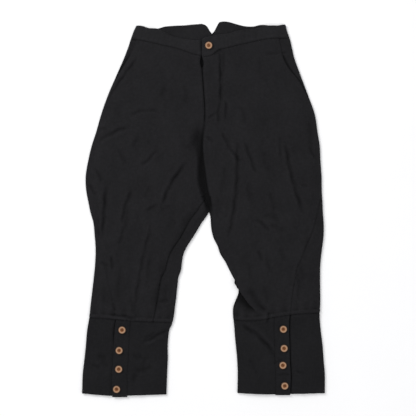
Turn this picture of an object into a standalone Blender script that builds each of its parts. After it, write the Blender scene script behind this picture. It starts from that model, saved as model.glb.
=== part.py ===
"""Button-cuff breeches of black cotton, laid flat with the front up.

Frame: metres, +Z up, the garment lying on z = 0 with its waist towards +Y and the wearer's left
towards +X.  The origin is under the middle of its box.  Sizes below are millimetres.  In plan a place is
given by `across`, from the middle line, and by `down`, from the highest point of the back waistband.

Each half of the garment is one skin: a flattened tube that rests on the floor, rolls over at its outer
edge and comes back on top.  `around` is the distance along that skin from the middle of the outer roll,
positive over the top and negative underneath.  Every panel is a stretch of the skin, given a wall
inwards, so panels that meet at a seam follow the same surface.
"""
import math
from typing import Callable, NamedTuple

import bmesh
import bpy
import numpy as np

MM = 0.001
LENGTH = 955.0            # from the higher back peak to the lower end of the cuff bands
CLOTH = 1.2               # wall of one layer of the cotton
BAND = 1.6                # wall of the doubled waistband and cuffs
FACING = 1.0              # wall of the fly and pocket facings
SEAM = 0.3                # room between two pieces at a seam
ROLL_ACROSS = 3.6         # half width of the rounded outer roll
ROLL_HEIGHT = 6.0         # height of the cloth where it leaves the roll
INNER_ROLL = 2.6          # half width of the inner roll just below the crotch
CROTCH = 444.0            # where the four inner seams meet
ROLL_REACH = 34.0         # how far in from the roll the top reaches its full loft
LOWEST_TOP = 3.5          # the top layer never sinks below this
WAIST_END_RIGHT = 28.0    # hidden end of the right waistband, past the middle line
TAB_END = -4.0            # visible end of the left waistband, past the middle line
LAP_SINK = BAND + 0.4     # how far the under layer lies below an overlapping band
UNDERLAP_SINK = CLOTH + FACING + 0.75
UNDERLAP_RISE = CLOTH + 0.9
FACING_SINK = CLOTH + 0.45
POCKET_SINK = CLOTH + 0.6
POCKET_LAP = 18.0         # how far the pocket facing runs in under the front
BUTTON_RADIUS = 10.0
BUTTON_HEIGHT = 3.4
BUTTON_SIDES = 14
LAP_EASE = 8.0            # length over which an under layer sinks away below a lap
LAP_RUN = 3.0             # how far the cuff's outer end runs in under its button band
SMALL = 0.05              # step for slopes
LONG_PANEL = 300.0        # a longer panel keeps its middle rows straight across
SHARP = math.radians(40)  # edges bent more than this are drawn sharp

FOLD_FADE = 0.3           # share of a crease's length over which each end dies out
RIDGE_AWAY = 1.7          # distance from a crease to its side ridge, in half widths of the crease
CREASE_CLEAR = 16.0       # creases reach their full depth this far in from the outer roll
CREASE_CLEAR_INNER = 12.0  # and this far in from the inner roll of a leg
LEG_BLEND = (404.0, 464.0)  # down, where the inner line changes from the centre front to the inner leg

BODY_ROWS = (66.0, CROTCH, 16)          # first and last row of the panels above the crotch, and how many
CROTCH_ROWS = (CROTCH + 7, CROTCH + 17)
LEG_PART_ROWS = (CROTCH + 28, 752.0, 16)
LEG_ROWS = np.concatenate([np.linspace(*BODY_ROWS), CROTCH_ROWS, np.linspace(*LEG_PART_ROWS)])
WAISTBAND_FRONT_ROWS = np.linspace(30, 66, 4)
WAISTBAND_BACK_ROWS = np.linspace(12, 52, 4)
CUFF_ROWS = np.linspace(760, 944, 6)

BLACK_COTTON = (0.0185, 0.0180, 0.0195)
BUTTON_WOOD = (0.36, 0.20, 0.105)
COTTON_ROUGHNESS = 0.9
WOOD_ROUGHNESS = 0.55


class Width(NamedTuple):
    """Outer half widths of the two sides."""
    down: float
    right: float
    left: float


class InnerLeg(NamedTuple):
    """Inner edges of the two legs, each counted outwards from the middle line."""
    down: float
    right: float
    left: float


class Centre(NamedTuple):
    """Centre lines, counted towards the wearer's left, and half the width of the slit between the fronts."""
    down: float
    front: float
    slit: float
    back: float


class Loft(NamedTuple):
    """Height of the top layer, its height along the inner line, and how far that dip spreads."""
    down: float
    top: float
    inner: float
    inner_reach: float


class Seam(NamedTuple):
    """Where a seam runs: its distance from the edge of the skin, at one place down."""
    down: float
    right: float
    left: float


class Edge(NamedTuple):
    """A cross edge of the garment in plan, counted towards the wearer's left."""
    across: float
    down: float


class Fold(NamedTuple):
    """A crease in plan: its two ends, its sideways bow, half width, depth (below nought) and side ridge."""
    start: float
    start_down: float
    end: float
    end_down: float
    bow: float
    width: float
    depth: float
    lip: float


class Columns(NamedTuple):
    """A panel's columns: how many, how much closer at the rolls, and how far from its start also closer."""
    count: int
    crowd: float
    crowd_start: float


FRONT_COLUMNS = Columns(20, 1.5, 0)
BACK_COLUMNS = Columns(22, 7, 0)
WAISTBAND_FRONT_COLUMNS = Columns(24, 2, 0)
WAISTBAND_BACK_COLUMNS = Columns(26, 2, 0)
POCKET_COLUMNS = Columns(9, 2, 0)
FLY_FACING_COLUMNS = Columns(5, 0, 0)
UNDERLAP_COLUMNS = Columns(8, 0, 0)
CUFF_COLUMNS = Columns(36, 2, 54)
CUFF_BAND_COLUMNS = Columns(5, 0, 0)

WIDTHS = (
    Width(7, 169, 209), Width(20, 176, 212), Width(41, 184, 219), Width(61, 190, 224), Width(87, 200, 230),
    Width(135, 221, 247), Width(186, 243, 266), Width(237, 261, 284), Width(283, 274, 291),
    Width(314, 284, 296), Width(352, 293, 298), Width(398, 300, 301), Width(433, 298, 301.5),
    Width(459, 293, 303), Width(484, 288, 304), Width(510, 280.5, 306), Width(543, 277, 306),
    Width(581, 274.5, 301.5), Width(612, 275.5, 298), Width(658, 280, 297), Width(709, 286, 297.5),
    Width(755, 291, 296), Width(785, 296, 298.5), Width(826, 299.5, 303.5), Width(867, 304, 306.5),
    Width(887, 306.5, 308.5), Width(945, 309, 309),
)

INNER_LEGS = (
    InnerLeg(CROTCH, -5.8, 6.2), InnerLeg(459, -9, 9.4), InnerLeg(472, -11.6, 12.2),
    InnerLeg(484, -12.6, 14.4), InnerLeg(492, -10, 16.5), InnerLeg(500, -4.5, 18), InnerLeg(510, 3, 18.6),
    InnerLeg(530, 15, 20.5), InnerLeg(551, 28, 26), InnerLeg(571, 41, 36), InnerLeg(591, 50.5, 43),
    InnerLeg(612, 54.5, 56), InnerLeg(632, 57, 66), InnerLeg(653, 64, 77), InnerLeg(668, 65.5, 86),
    InnerLeg(690, 68, 89), InnerLeg(709, 70, 82), InnerLeg(724, 72, 76.5), InnerLeg(755, 76.5, 76),
    InnerLeg(768, 79.5, 77.5), InnerLeg(785, 87, 79), InnerLeg(800, 89, 80), InnerLeg(830, 91, 83),
    InnerLeg(850, 90.5, 85), InnerLeg(887, 92, 87), InnerLeg(945, 94, 86.5),
)

CENTRES = (
    Centre(20, -5, 0.2, 21.6), Centre(87, -6, 1.2, 19), Centre(105, -4, 3.2, 18), Centre(120, -3.2, 2.2, 16),
    Centre(135, -2.3, 1.5, 15), Centre(173, 0.5, 1.0, 11), Centre(245, 3.3, 0.6, 5), Centre(262, 2.6, 0.2, 3),
    Centre(285, -1.5, 0.2, 0), Centre(350, -3, 0.2, -3), Centre(398, -1, 0.2, -1), Centre(430, 3, 0.2, 3),
    Centre(CROTCH, 6, 0.2, 6),
)

LOFTS = (
    Loft(0, 6.4, 6.4, 30), Loft(60, 6.8, 6.8, 30), Loft(120, 7.8, 7.8, 30), Loft(255, 9, 8.6, 30),
    Loft(285, 9.4, 5.6, 13), Loft(320, 9.6, 4.3, 11), Loft(CROTCH, 9.4, 4.8, 9), Loft(500, 9.2, 5.6, 16),
    Loft(560, 8.8, 6.0, 30), Loft(700, 8.2, 6.0, 30), Loft(760, 7.2, 6.0, 26), Loft(800, 6.9, 5.8, 24),
    Loft(955, 6.4, 5.6, 24),
)

POCKET_MOUTH = (
    Seam(40, 16, 30), Seam(84, 14.5, 30), Seam(105, 10, 28.5), Seam(122, 7.5, 24), Seam(135, 5.5, 18),
    Seam(145, 4, 13), Seam(153, 2.5, 10), Seam(165, 0, 6), Seam(173, 0, 4.5), Seam(192, 0, 0),
)
POCKET_TOP = 50.0
POCKET_END_RIGHT = 143.0
POCKET_END_LEFT = 171.0

OUTSEAM = (
    Seam(433, 0, 0), Seam(467, 0, 10), Seam(500, 3, 20), Seam(535, 8, 31), Seam(569, 14, 43),
    Seam(602, 22, 51), Seam(627, 29, 60), Seam(658, 38, 66), Seam(696, 51, 73), Seam(755, 67, 77),
)

INSEAM = (
    Seam(CROTCH, 0, 0), Seam(452, 0, 0), Seam(461, 1.5, 1.5), Seam(474, 8, 4), Seam(494, 24, 4),
    Seam(520, 40, 4), Seam(551, 38, 4), Seam(574, 39, 4), Seam(612, 54, 4), Seam(670, 54, 4),
    Seam(755, 57, 4),
)

WAIST_TOP_FRONT_RIGHT = (
    Edge(-180, 22), Edge(-174, 13), Edge(-166, 10.5), Edge(-155, 11.5), Edge(-140, 16.5), Edge(-117, 18.5),
    Edge(-102, 25.5), Edge(-89, 33), Edge(-64, 41), Edge(-33, 46.5), Edge(-8, 48), Edge(28, 47),
)
WAIST_TOP_FRONT_LEFT = (
    Edge(-4, 46), Edge(1, 42), Edge(15, 38.5), Edge(33, 34), Edge(64, 30.5), Edge(84, 24.5), Edge(107, 20.5),
    Edge(133, 18), Edge(158, 11), Edge(176, 10), Edge(191, 10), Edge(203, 8), Edge(210, 10), Edge(214, 20),
)
WAIST_SEAM_RIGHT = (
    Edge(-190, 45.5), Edge(-170, 47), Edge(-130, 55), Edge(-102, 61.5), Edge(-71, 68.5), Edge(-46, 76.5),
    Edge(-24, 84), Edge(-4, 87), Edge(28, 87.5),
)
WAIST_SEAM_LEFT = (
    Edge(-4, 90), Edge(18, 85.5), Edge(42, 75), Edge(64, 67), Edge(84, 61.5), Edge(112, 55.5),
    Edge(140, 49), Edge(165, 44.5), Edge(190, 43), Edge(222, 43),
)
BACK_TOP_RIGHT = (
    Edge(-180, 23), Edge(-174, 14), Edge(-166, 11.5), Edge(-155, 12.5), Edge(-140, 17.5), Edge(-117, 17.5),
    Edge(-99, 12.5), Edge(-79, 10.5), Edge(-48, 9), Edge(-18, 6.5), Edge(0, 6.5), Edge(9, 12), Edge(15, 22),
    Edge(21.6, 31),
)
BACK_TOP_LEFT = (
    Edge(21.6, 31), Edge(29, 22), Edge(34, 12), Edge(40, 2), Edge(46, 0), Edge(64, 0.5), Edge(80, 5),
    Edge(107, 11.5), Edge(128, 12), Edge(146, 8), Edge(160, 8.5), Edge(176, 11), Edge(191, 11),
    Edge(203, 9), Edge(210, 11), Edge(214, 21),
)
BACK_SEAM_RIGHT = (Edge(-190, 45.5), Edge(-150, 49), Edge(-90, 54), Edge(-30, 60), Edge(21.6, 66))
BACK_SEAM_LEFT = (Edge(21.6, 66), Edge(60, 58), Edge(120, 50), Edge(180, 45), Edge(222, 43))

CUFF_SEAM_RIGHT = (Edge(-310, 752), Edge(-226, 758), Edge(-150, 764), Edge(-60, 766))
CUFF_SEAM_LEFT = (Edge(60, 758), Edge(130, 761), Edge(190, 751), Edge(240, 744), Edge(310, 741))
HEM_RIGHT = (Edge(-315, 943), Edge(-250, 949), Edge(-150, 948), Edge(-85, 945))
HEM_LEFT = (Edge(80, 941), Edge(160, 945), Edge(250, 943), Edge(315, 942))
BAND_END_RIGHT = 955.0
BAND_END_LEFT = 950.0

CUFF_BAND = (
    Seam(740, 70, 76), Seam(830, 74, 81), Seam(945, 79, 86),
)
CUFF_BAND_WIDTH = 38.0

FLY_FACING_EDGE = (
    Edge(36.5, 91), Edge(37.5, 150), Edge(38.5, 205), Edge(35.5, 225), Edge(27, 240), Edge(14, 250),
)
FLY_FACING_END = 250.0
FLY_TOP = 93.0
UNDERLAP_ACROSS = (-16.0, 31.0)
UNDERLAP_END = 258.0

FOLDS = (
    Fold(-189, 242, -108, 230, -6, 15, -1.6, 0.5), Fold(-270, 312, -178, 268, -6, 16, -2.6, 0.6),
    Fold(-161, 372, -112, 326, 4, 15, -1.8, 0.5), Fold(-42, 345, -118, 478, 8, 14, -3.8, 0.7),
    Fold(-172, 420, -216, 505, 2, 16, -2.8, 0.6), Fold(-243, 404, -259, 560, 6, 15, -3.6, 0.6),
    Fold(-140, 490, -178, 742, -8, 17, -2.4, 0.4), Fold(-8, 268, -48, 330, 4, 24, -2.6, 0.0),
    Fold(46, 275, 107, 376, 6, 16, -2.0, 0.4), Fold(76, 292, 58, 560, 12, 15, -3.0, 0.6),
    Fold(102, 300, 136, 392, 3, 15, -1.8, 0.4), Fold(207, 300, 259, 500, 6, 16, -3.6, 0.7),
    Fold(122, 503, 172, 538, 3, 16, -1.6, 0.5), Fold(84, 676, 162, 762, 4, 15, -3.4, 1.0),
    Fold(238, 628, 240, 705, 2, 17, -1.4, 0.4), Fold(-163, 92, -236, 188, 4, 15, -1.4, 0.4),
    Fold(94, 771, 170, 842, 5, 14, -2.0, 0.9), Fold(-172, 824, -92, 783, 3, 14, -1.6, 0.9),
)

RIGHT_CUFF_BUTTONS = (Edge(-206.5, 784), Edge(-214, 836), Edge(-215, 883.5), Edge(-220.5, 934.5))
LEFT_CUFF_BUTTONS = (Edge(205, 782), Edge(207, 830), Edge(204, 875), Edge(209, 927))
WAIST_BUTTON = Edge(13, 59.5)


def column(table: tuple, name: str) -> np.ndarray:
    """One named column of a table as an array."""
    return np.array([getattr(row, name) for row in table], dtype=float)


def smooth(table: tuple, key: str, value: str, at: np.ndarray) -> np.ndarray:
    """Catmull-Rom curve through a table's rows, level past both ends."""
    knots = column(table, key)
    values = column(table, value)
    slopes = np.gradient(values, knots)
    at = np.clip(np.asarray(at, dtype=float), knots[0], knots[-1])
    index = np.clip(np.searchsorted(knots, at) - 1, 0, len(knots) - 2)
    span = knots[index + 1] - knots[index]
    t = (at - knots[index]) / span
    rise = (2 * t**3 - 3 * t**2 + 1) * values[index] + (3 * t**2 - 2 * t**3) * values[index + 1]
    lean = (t**3 - 2 * t**2 + t) * slopes[index] + (t**3 - t**2) * slopes[index + 1]
    return rise + lean * span


def ease(t: np.ndarray) -> np.ndarray:
    """Smooth step from 0 to 1."""
    t = np.clip(t, 0.0, 1.0)
    return t * t * (3 - 2 * t)


def quarter(half_width: np.ndarray, half_height: np.ndarray) -> np.ndarray:
    """Length of a quarter of an ellipse, close enough for a roll."""
    return 0.5 * math.pi * np.sqrt((half_width**2 + half_height**2) / 2)


def fold_height(across: np.ndarray, down: np.ndarray) -> np.ndarray:
    """Sum of the creases: each a soft trough along a bowed line, with a ridge on one side of it."""
    total = np.zeros(np.broadcast(across, down).shape)
    for fold in FOLDS:
        run = np.array([fold.end - fold.start, fold.end_down - fold.start_down])
        length = np.hypot(*run)
        run = run / length
        along = (across - fold.start) * run[0] + (down - fold.start_down) * run[1]
        aside = (down - fold.start_down) * run[0] - (across - fold.start) * run[1]
        t = np.clip(along / length, 0.0, 1.0)
        past = along - t * length
        off = aside - fold.bow * 4 * t * (1 - t)
        fade = ease(t / FOLD_FADE) * ease((1 - t) / FOLD_FADE) * np.exp(-(past / fold.width) ** 2)
        trough = np.exp(-(off / fold.width) ** 2)
        ridge = np.exp(-((off - RIDGE_AWAY * fold.width) / fold.width) ** 2)
        total += fold.depth * fade * (trough - fold.lip * ridge)
    return total


class Side:
    """One half of the garment, the wearer's right or left, as a skin laid out on the floor."""

    def __init__(self, name: str) -> None:
        self.name = name
        self.sign = -1.0 if name == "right" else 1.0
        self.roll = quarter(ROLL_ACROSS, ROLL_HEIGHT / 2)

    def outer(self, down: np.ndarray) -> np.ndarray:
        """Outer edge, outwards from the middle line."""
        return smooth(WIDTHS, "down", self.name, down)

    def inner_front(self, down: np.ndarray) -> np.ndarray:
        """Inner edge of the top layer: the centre front, then the inner leg."""
        centre = self.sign * smooth(CENTRES, "down", "front", down) + smooth(CENTRES, "down", "slit", down)
        return np.where(down < CROTCH, centre, smooth(INNER_LEGS, "down", self.name, down))

    def inner_back(self, down: np.ndarray) -> np.ndarray:
        """Inner edge of the under layer: the centre back, then the inner leg."""
        centre = self.sign * smooth(CENTRES, "down", "back", down) + SEAM / 2
        return np.where(down < CROTCH, centre, smooth(INNER_LEGS, "down", self.name, down))

    def inner_roll(self, down: np.ndarray) -> tuple:
        """Half width, half height and length of the inner roll, which starts below the crotch."""
        leg = (down > CROTCH).astype(float)
        half_width = leg * (INNER_ROLL + (ROLL_ACROSS - INNER_ROLL) * ease((down - CROTCH) / 70))
        half_height = smooth(LOFTS, "down", "inner", down) / 2
        return half_width, half_height, leg * quarter(half_width, half_height)

    def over(self, down: np.ndarray) -> np.ndarray:
        """Length of the skin over the top, from the outer roll's middle to the inner one's or centre front."""
        half_width, _, roll = self.inner_roll(down)
        return self.roll + self.outer(down) - self.inner_front(down) - ROLL_ACROSS - half_width + roll

    def at_across(self, across: float, down: np.ndarray) -> np.ndarray:
        """How far around the top a place `across` from the middle line, towards the wearer's left, lies."""
        return self.roll + self.outer(down) - self.sign * across - ROLL_ACROSS

    def top_height(self, inwards: np.ndarray, down: np.ndarray) -> np.ndarray:
        """Height of the top layer at a distance inwards from the outer edge."""
        half_width, _, _ = self.inner_roll(down)
        top = smooth(LOFTS, "down", "top", down)
        dip = smooth(LOFTS, "down", "inner", down)
        reach = smooth(LOFTS, "down", "inner_reach", down)
        from_inner = self.outer(down) - self.inner_front(down) - half_width - inwards
        outer_rise = ease((inwards - ROLL_ACROSS) / ROLL_REACH)
        inner_rise = ease(from_inner / reach)
        base = top - (top - ROLL_HEIGHT) * (1 - outer_rise) - (top - dip) * (1 - inner_rise)
        leg = ease((down - LEG_BLEND[0]) / (LEG_BLEND[1] - LEG_BLEND[0]))
        clear = ease((inwards - ROLL_ACROSS) / CREASE_CLEAR)
        clear = clear * (1 - leg * (1 - ease(from_inner / CREASE_CLEAR_INNER)))
        across = self.sign * (self.outer(down) - inwards)
        return np.maximum(base + clear * fold_height(across, down), LOWEST_TOP)

    def skin(self, around: np.ndarray, down: np.ndarray) -> np.ndarray:
        """Points of the skin, in millimetres, at distances around and down."""
        inner_width, inner_height, inner_roll = self.inner_roll(down)
        whole = self.over(down)
        beyond = np.clip(-around - whole, 0, None) * (down > CROTCH)
        on_top = (around >= 0) | (beyond > 0)
        along = np.where(around >= 0, around, np.where(beyond > 0, whole - beyond, -around))
        width = self.outer(down) - np.where(on_top, self.inner_front(down), self.inner_back(down))
        inwards = ROLL_ACROSS + along - self.roll
        height = np.where(on_top, self.top_height(inwards, down), 0.0)
        turn = np.clip(along / self.roll, 0, 1) * math.pi / 2
        outer_half = ROLL_HEIGHT / 2
        rolled = along < self.roll
        height = np.where(rolled, outer_half + np.where(on_top, 1, -1) * outer_half * np.sin(turn), height)
        inwards = np.where(rolled, ROLL_ACROSS * (1 - np.cos(turn)), inwards)
        left_over = whole - along
        turn = np.clip(left_over / np.maximum(inner_roll, 1e-6), 0, 1) * math.pi / 2
        rolled = (left_over < inner_roll) & (down > CROTCH)
        height = np.where(rolled, inner_height * (1 + np.where(on_top, 1, -1) * np.sin(turn)), height)
        inwards = np.where(rolled, width - inner_width * (1 - np.cos(turn)), inwards)
        across = self.sign * (self.outer(down) - inwards)
        return np.stack([across, LENGTH / 2 - down, height], axis=-1)

    def outwards(self, around: np.ndarray, down: np.ndarray) -> np.ndarray:
        """Unit normals that leave the skin, taken on the point's own side of the crotch."""
        aside = self.skin(around + SMALL, down) - self.skin(around - SMALL, down)
        leg = down > CROTCH
        below = self.skin(around, down + np.where(leg, SMALL, 0.0))
        above = self.skin(around, down - np.where(leg, 0.0, SMALL))
        normals = self.sign * np.cross(aside, below - above)
        return normals / np.linalg.norm(normals, axis=-1, keepdims=True)


class Stretch(NamedTuple):
    """A panel's place on a side's skin, and how finely it is cut up."""
    side: Side
    start: Callable        # around, where the panel begins, at each place down
    stop: Callable         # around, where it ends
    top: Callable          # down, of its upper edge, at each place across
    bottom: Callable       # down, of its lower edge
    rows: np.ndarray       # nominal places down
    columns: Columns


def spread(stretch: Stretch, down: float) -> np.ndarray:
    """Shares of the way from start to stop for the columns, closer together where the skin rolls over."""
    side = stretch.side
    columns = stretch.columns
    first = float(stretch.start(np.array(down)))
    last = float(stretch.stop(np.array(down)))
    fine = np.linspace(first, last, 500)
    whole = float(side.over(np.array(down)))
    density = np.ones_like(fine)
    for place in (0.0, whole, -whole):
        density += columns.crowd * np.exp(-((fine - place) / (1.1 * side.roll)) ** 2)
    if columns.crowd_start > 0:
        density += 3.0 * (np.abs(fine - first) < columns.crowd_start)
    filled = np.concatenate([[0.0], np.cumsum(0.5 * (density[1:] + density[:-1]))])
    return np.interp(np.linspace(0, filled[-1], columns.count), filled, np.linspace(0, 1, fine.size))


def cross_edge(stretch: Stretch, edge: Callable, down: float, shares: np.ndarray) -> np.ndarray:
    """Places down where each column meets a cross edge, found by closing in on it."""
    downs = np.full(shares.shape, float(down))
    for _ in range(6):
        around = stretch.start(downs) + shares * (stretch.stop(downs) - stretch.start(downs))
        across = stretch.side.skin(around, downs)[..., 0]
        downs = edge(across)
    return downs


def lay(stretch: Stretch) -> tuple:
    """The panel's grid of places, as `around` and `down`, its edges on the stretch's four curves."""
    shares = np.array([spread(stretch, down) for down in stretch.rows])
    first, last = stretch.rows[0], stretch.rows[-1]
    top = cross_edge(stretch, stretch.top, first, shares[0])
    bottom = cross_edge(stretch, stretch.bottom, last, shares[-1])
    v = ((stretch.rows - first) / (last - first))[:, None]
    long_panel = last - first > LONG_PANEL
    near_top = np.clip(1 - v / 0.4, 0, 1) ** 2 if long_panel else 1 - v
    near_bottom = np.clip(1 - (1 - v) / 0.25, 0, 1) ** 2 if long_panel else v
    down = stretch.rows[:, None] + (top - first) * near_top + (bottom - last) * near_bottom
    start = stretch.start(down)
    around = start + shares * (stretch.stop(down) - start)
    return around, down


def material(name: str, colour: tuple, roughness: float) -> bpy.types.Material:
    """A Principled material of one colour."""
    made = bpy.data.materials.new(name)
    made.use_nodes = True
    shader = made.node_tree.nodes["Principled BSDF"]
    shader.inputs["Base Color"].default_value = (*colour, 1.0)
    shader.inputs["Roughness"].default_value = roughness
    made.diffuse_color = (*colour, 1.0)
    return made


def add_object(name: str, mesh: bpy.types.Mesh, look: bpy.types.Material) -> bpy.types.Object:
    """Link a named object that shows the mesh in one material."""
    mesh.materials.append(look)
    made = bpy.data.objects.new(name, mesh)
    bpy.context.scene.collection.objects.link(made)
    return made


def wall(name: str, points: np.ndarray, outwards: np.ndarray, thickness: float,
         look: bpy.types.Material) -> bpy.types.Object:
    """A closed wall: the grid of outer points, a copy moved inwards, and a rim joining the two."""
    rows, columns = points.shape[:2]
    inner = points - outwards * thickness
    vertices = np.concatenate([points.reshape(-1, 3), inner.reshape(-1, 3)]) * MM
    index = np.arange(rows * columns).reshape(rows, columns)
    corners = (index[:-1, :-1], index[1:, :-1], index[1:, 1:], index[:-1, 1:])
    triangles = np.concatenate([np.stack([corners[k] for k in pick], axis=-1).reshape(-1, 3)
                                for pick in ((0, 1, 2), (0, 2, 3))])
    faces = [tuple(triangle) for triangle in triangles.tolist()]
    faces += [tuple(reversed(triangle)) for triangle in (triangles + rows * columns).tolist()]
    rim = np.concatenate([index[0], index[1:, -1], index[-1, -2::-1], index[-2:0:-1, 0]])
    for here, after in zip(rim.tolist(), np.roll(rim, -1).tolist()):
        faces.append((here, after, after + rows * columns, here + rows * columns))
    mesh = bpy.data.meshes.new(name)
    mesh.from_pydata(vertices.tolist(), [], faces)
    shaped = bmesh.new()
    shaped.from_mesh(mesh)
    bmesh.ops.recalc_face_normals(shaped, faces=shaped.faces)
    shaped.to_mesh(mesh)
    shaped.free()
    mesh.shade_smooth()
    mesh.set_sharp_from_angle(angle=SHARP)
    return add_object(name, mesh, look)


def edge_curve(table: tuple, shift: float = 0.0) -> Callable:
    """A cross edge of the garment as a function of the place across."""
    return lambda across: smooth(table, "across", "down", across) + shift


def level(down: float) -> Callable:
    """A cross edge that runs straight across."""
    return lambda across: np.full(np.shape(across), float(down))


def panel(name: str, stretch: Stretch, thickness: float, look: bpy.types.Material,
          sink: Callable | None = None) -> bpy.types.Object:
    """Lay a panel on the skin, let it down by `sink` where something covers it, and give it its wall."""
    around, down = lay(stretch)
    points = stretch.side.skin(around, down)
    outwards = stretch.side.outwards(around, down)
    if sink is not None:
        points = points - outwards * sink(points[..., 0], around, down)[..., None]
    return wall(name, points, outwards, thickness, look)


def seam_at(side: Side, table: tuple) -> Callable:
    """A seam's distance around, at each place down, from its table."""
    return lambda down: smooth(table, "down", side.name, down)


def build_front(side: Side, look: bpy.types.Material) -> None:
    """Front panel: from the pocket mouth and the outseam to the centre front and the inseam."""
    waist, cuff = (WAIST_SEAM_RIGHT, CUFF_SEAM_RIGHT) if side.sign < 0 else (WAIST_SEAM_LEFT, CUFF_SEAM_LEFT)

    def start(down: np.ndarray) -> np.ndarray:
        return seam_at(side, POCKET_MOUTH)(down) + seam_at(side, OUTSEAM)(down) + SEAM / 2

    def stop(down: np.ndarray) -> np.ndarray:
        taken = np.where(down > CROTCH, seam_at(side, INSEAM)(down) + SEAM / 2, 0.0)
        return side.over(down) - taken

    top, bottom = edge_curve(waist, SEAM / 2), edge_curve(cuff, -SEAM / 2)
    stretch = Stretch(side, start, stop, top, bottom, LEG_ROWS, FRONT_COLUMNS)
    panel(f"front_{side.name}", stretch, CLOTH, look)


def build_back(side: Side, look: bpy.types.Material) -> None:
    """Back panel: flat on the floor, rolled over both edges up to the seams that show on top."""
    waist, cuff = (BACK_SEAM_RIGHT, CUFF_SEAM_RIGHT) if side.sign < 0 else (BACK_SEAM_LEFT, CUFF_SEAM_LEFT)

    def start(down: np.ndarray) -> np.ndarray:
        return seam_at(side, OUTSEAM)(down) - SEAM / 2

    def stop(down: np.ndarray) -> np.ndarray:
        centre = side.roll + side.outer(down) - side.inner_back(down) - ROLL_ACROSS
        wrapped = side.over(down) + seam_at(side, INSEAM)(down) - SEAM / 2
        return -np.where(down > CROTCH, wrapped, centre)

    top, bottom = edge_curve(waist, SEAM / 2), edge_curve(cuff, -SEAM / 2)
    stretch = Stretch(side, start, stop, top, bottom, LEG_ROWS, BACK_COLUMNS)
    panel(f"back_{side.name}", stretch, CLOTH, look)


def build_waistband_front(side: Side, look: bpy.types.Material) -> None:
    """Front half of the waistband; the left one laps over the right one's end."""
    right = side.sign < 0
    upper = WAIST_TOP_FRONT_RIGHT if right else WAIST_TOP_FRONT_LEFT
    lower = WAIST_SEAM_RIGHT if right else WAIST_SEAM_LEFT
    end = WAIST_END_RIGHT if right else TAB_END

    def start(down: np.ndarray) -> np.ndarray:
        return np.full(np.shape(down), SEAM / 2)

    def stop(down: np.ndarray) -> np.ndarray:
        return side.at_across(end, down)

    def sink(across: np.ndarray, around: np.ndarray, down: np.ndarray) -> np.ndarray:
        return LAP_SINK * ease((across - TAB_END + LAP_EASE + 1) / LAP_EASE)

    top, bottom = edge_curve(upper), edge_curve(lower, -SEAM / 2)
    stretch = Stretch(side, start, stop, top, bottom, WAISTBAND_FRONT_ROWS, WAISTBAND_FRONT_COLUMNS)
    panel(f"waistband_front_{side.name}", stretch, BAND, look, sink if right else None)


def build_waistband_back(side: Side, look: bpy.types.Material) -> None:
    """Back half of the waistband: it rises to a peak beside the notch, and its inner face shows."""
    upper, lower = (BACK_TOP_RIGHT, BACK_SEAM_RIGHT) if side.sign < 0 else (BACK_TOP_LEFT, BACK_SEAM_LEFT)

    def start(down: np.ndarray) -> np.ndarray:
        return np.full(np.shape(down), -SEAM / 2)

    def stop(down: np.ndarray) -> np.ndarray:
        return -(side.roll + side.outer(down) - side.inner_back(down) - ROLL_ACROSS)

    top, bottom = edge_curve(upper), edge_curve(lower, -SEAM / 2)
    stretch = Stretch(side, start, stop, top, bottom, WAISTBAND_BACK_ROWS, WAISTBAND_BACK_COLUMNS)
    panel(f"waistband_back_{side.name}", stretch, BAND, look)


def build_pocket_facing(side: Side, look: bpy.types.Material) -> None:
    """Pocket facing: fills the corner outside the slanting mouth and runs in under the front."""
    seam = WAIST_SEAM_RIGHT if side.sign < 0 else WAIST_SEAM_LEFT
    end = POCKET_END_RIGHT if side.sign < 0 else POCKET_END_LEFT
    mouth = seam_at(side, POCKET_MOUTH)

    def start(down: np.ndarray) -> np.ndarray:
        return np.full(np.shape(down), SEAM / 2)

    def stop(down: np.ndarray) -> np.ndarray:
        return mouth(down) + POCKET_LAP

    def sink(across: np.ndarray, around: np.ndarray, down: np.ndarray) -> np.ndarray:
        return POCKET_SINK * ease(around / (mouth(down) - 1))

    rows = np.linspace(POCKET_TOP, end, 8)
    stretch = Stretch(side, start, stop, edge_curve(seam, SEAM / 2), level(end), rows, POCKET_COLUMNS)
    panel(f"pocket_facing_{side.name}", stretch, FACING, look, sink)


def build_fly(look: bpy.types.Material) -> None:
    """Fly: the left front's facing behind its edge, and the right front's underlap that shows in the slit."""
    side = Side("left")

    def facing_start(down: np.ndarray) -> np.ndarray:
        return side.at_across(0.0, down) - smooth(FLY_FACING_EDGE, "down", "across", down)

    def facing_stop(down: np.ndarray) -> np.ndarray:
        return side.over(down) - 1.0

    def facing_sink(across: np.ndarray, around: np.ndarray, down: np.ndarray) -> np.ndarray:
        return np.full(across.shape, FACING_SINK)

    rows = np.linspace(FLY_TOP, FLY_FACING_END, 10)
    top, bottom = level(FLY_TOP), level(FLY_FACING_END)
    stretch = Stretch(side, facing_start, facing_stop, top, bottom, rows, FLY_FACING_COLUMNS)
    panel("fly_facing", stretch, FACING, look, facing_sink)

    def lap_start(down: np.ndarray) -> np.ndarray:
        return side.at_across(UNDERLAP_ACROSS[1], down)

    def lap_stop(down: np.ndarray) -> np.ndarray:
        return side.at_across(UNDERLAP_ACROSS[0], down)

    def lap_sink(across: np.ndarray, around: np.ndarray, down: np.ndarray) -> np.ndarray:
        slit = smooth(CENTRES, "down", "front", down)
        rise = ease((slit - LAP_RUN - across) / LAP_EASE)
        return UNDERLAP_SINK - (UNDERLAP_SINK - UNDERLAP_RISE) * rise

    rows = np.linspace(FLY_TOP, UNDERLAP_END, 9)
    bottom = level(UNDERLAP_END)
    stretch = Stretch(side, lap_start, lap_stop, top, bottom, rows, UNDERLAP_COLUMNS)
    panel("fly_underlap", stretch, FACING, look, lap_sink)


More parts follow.
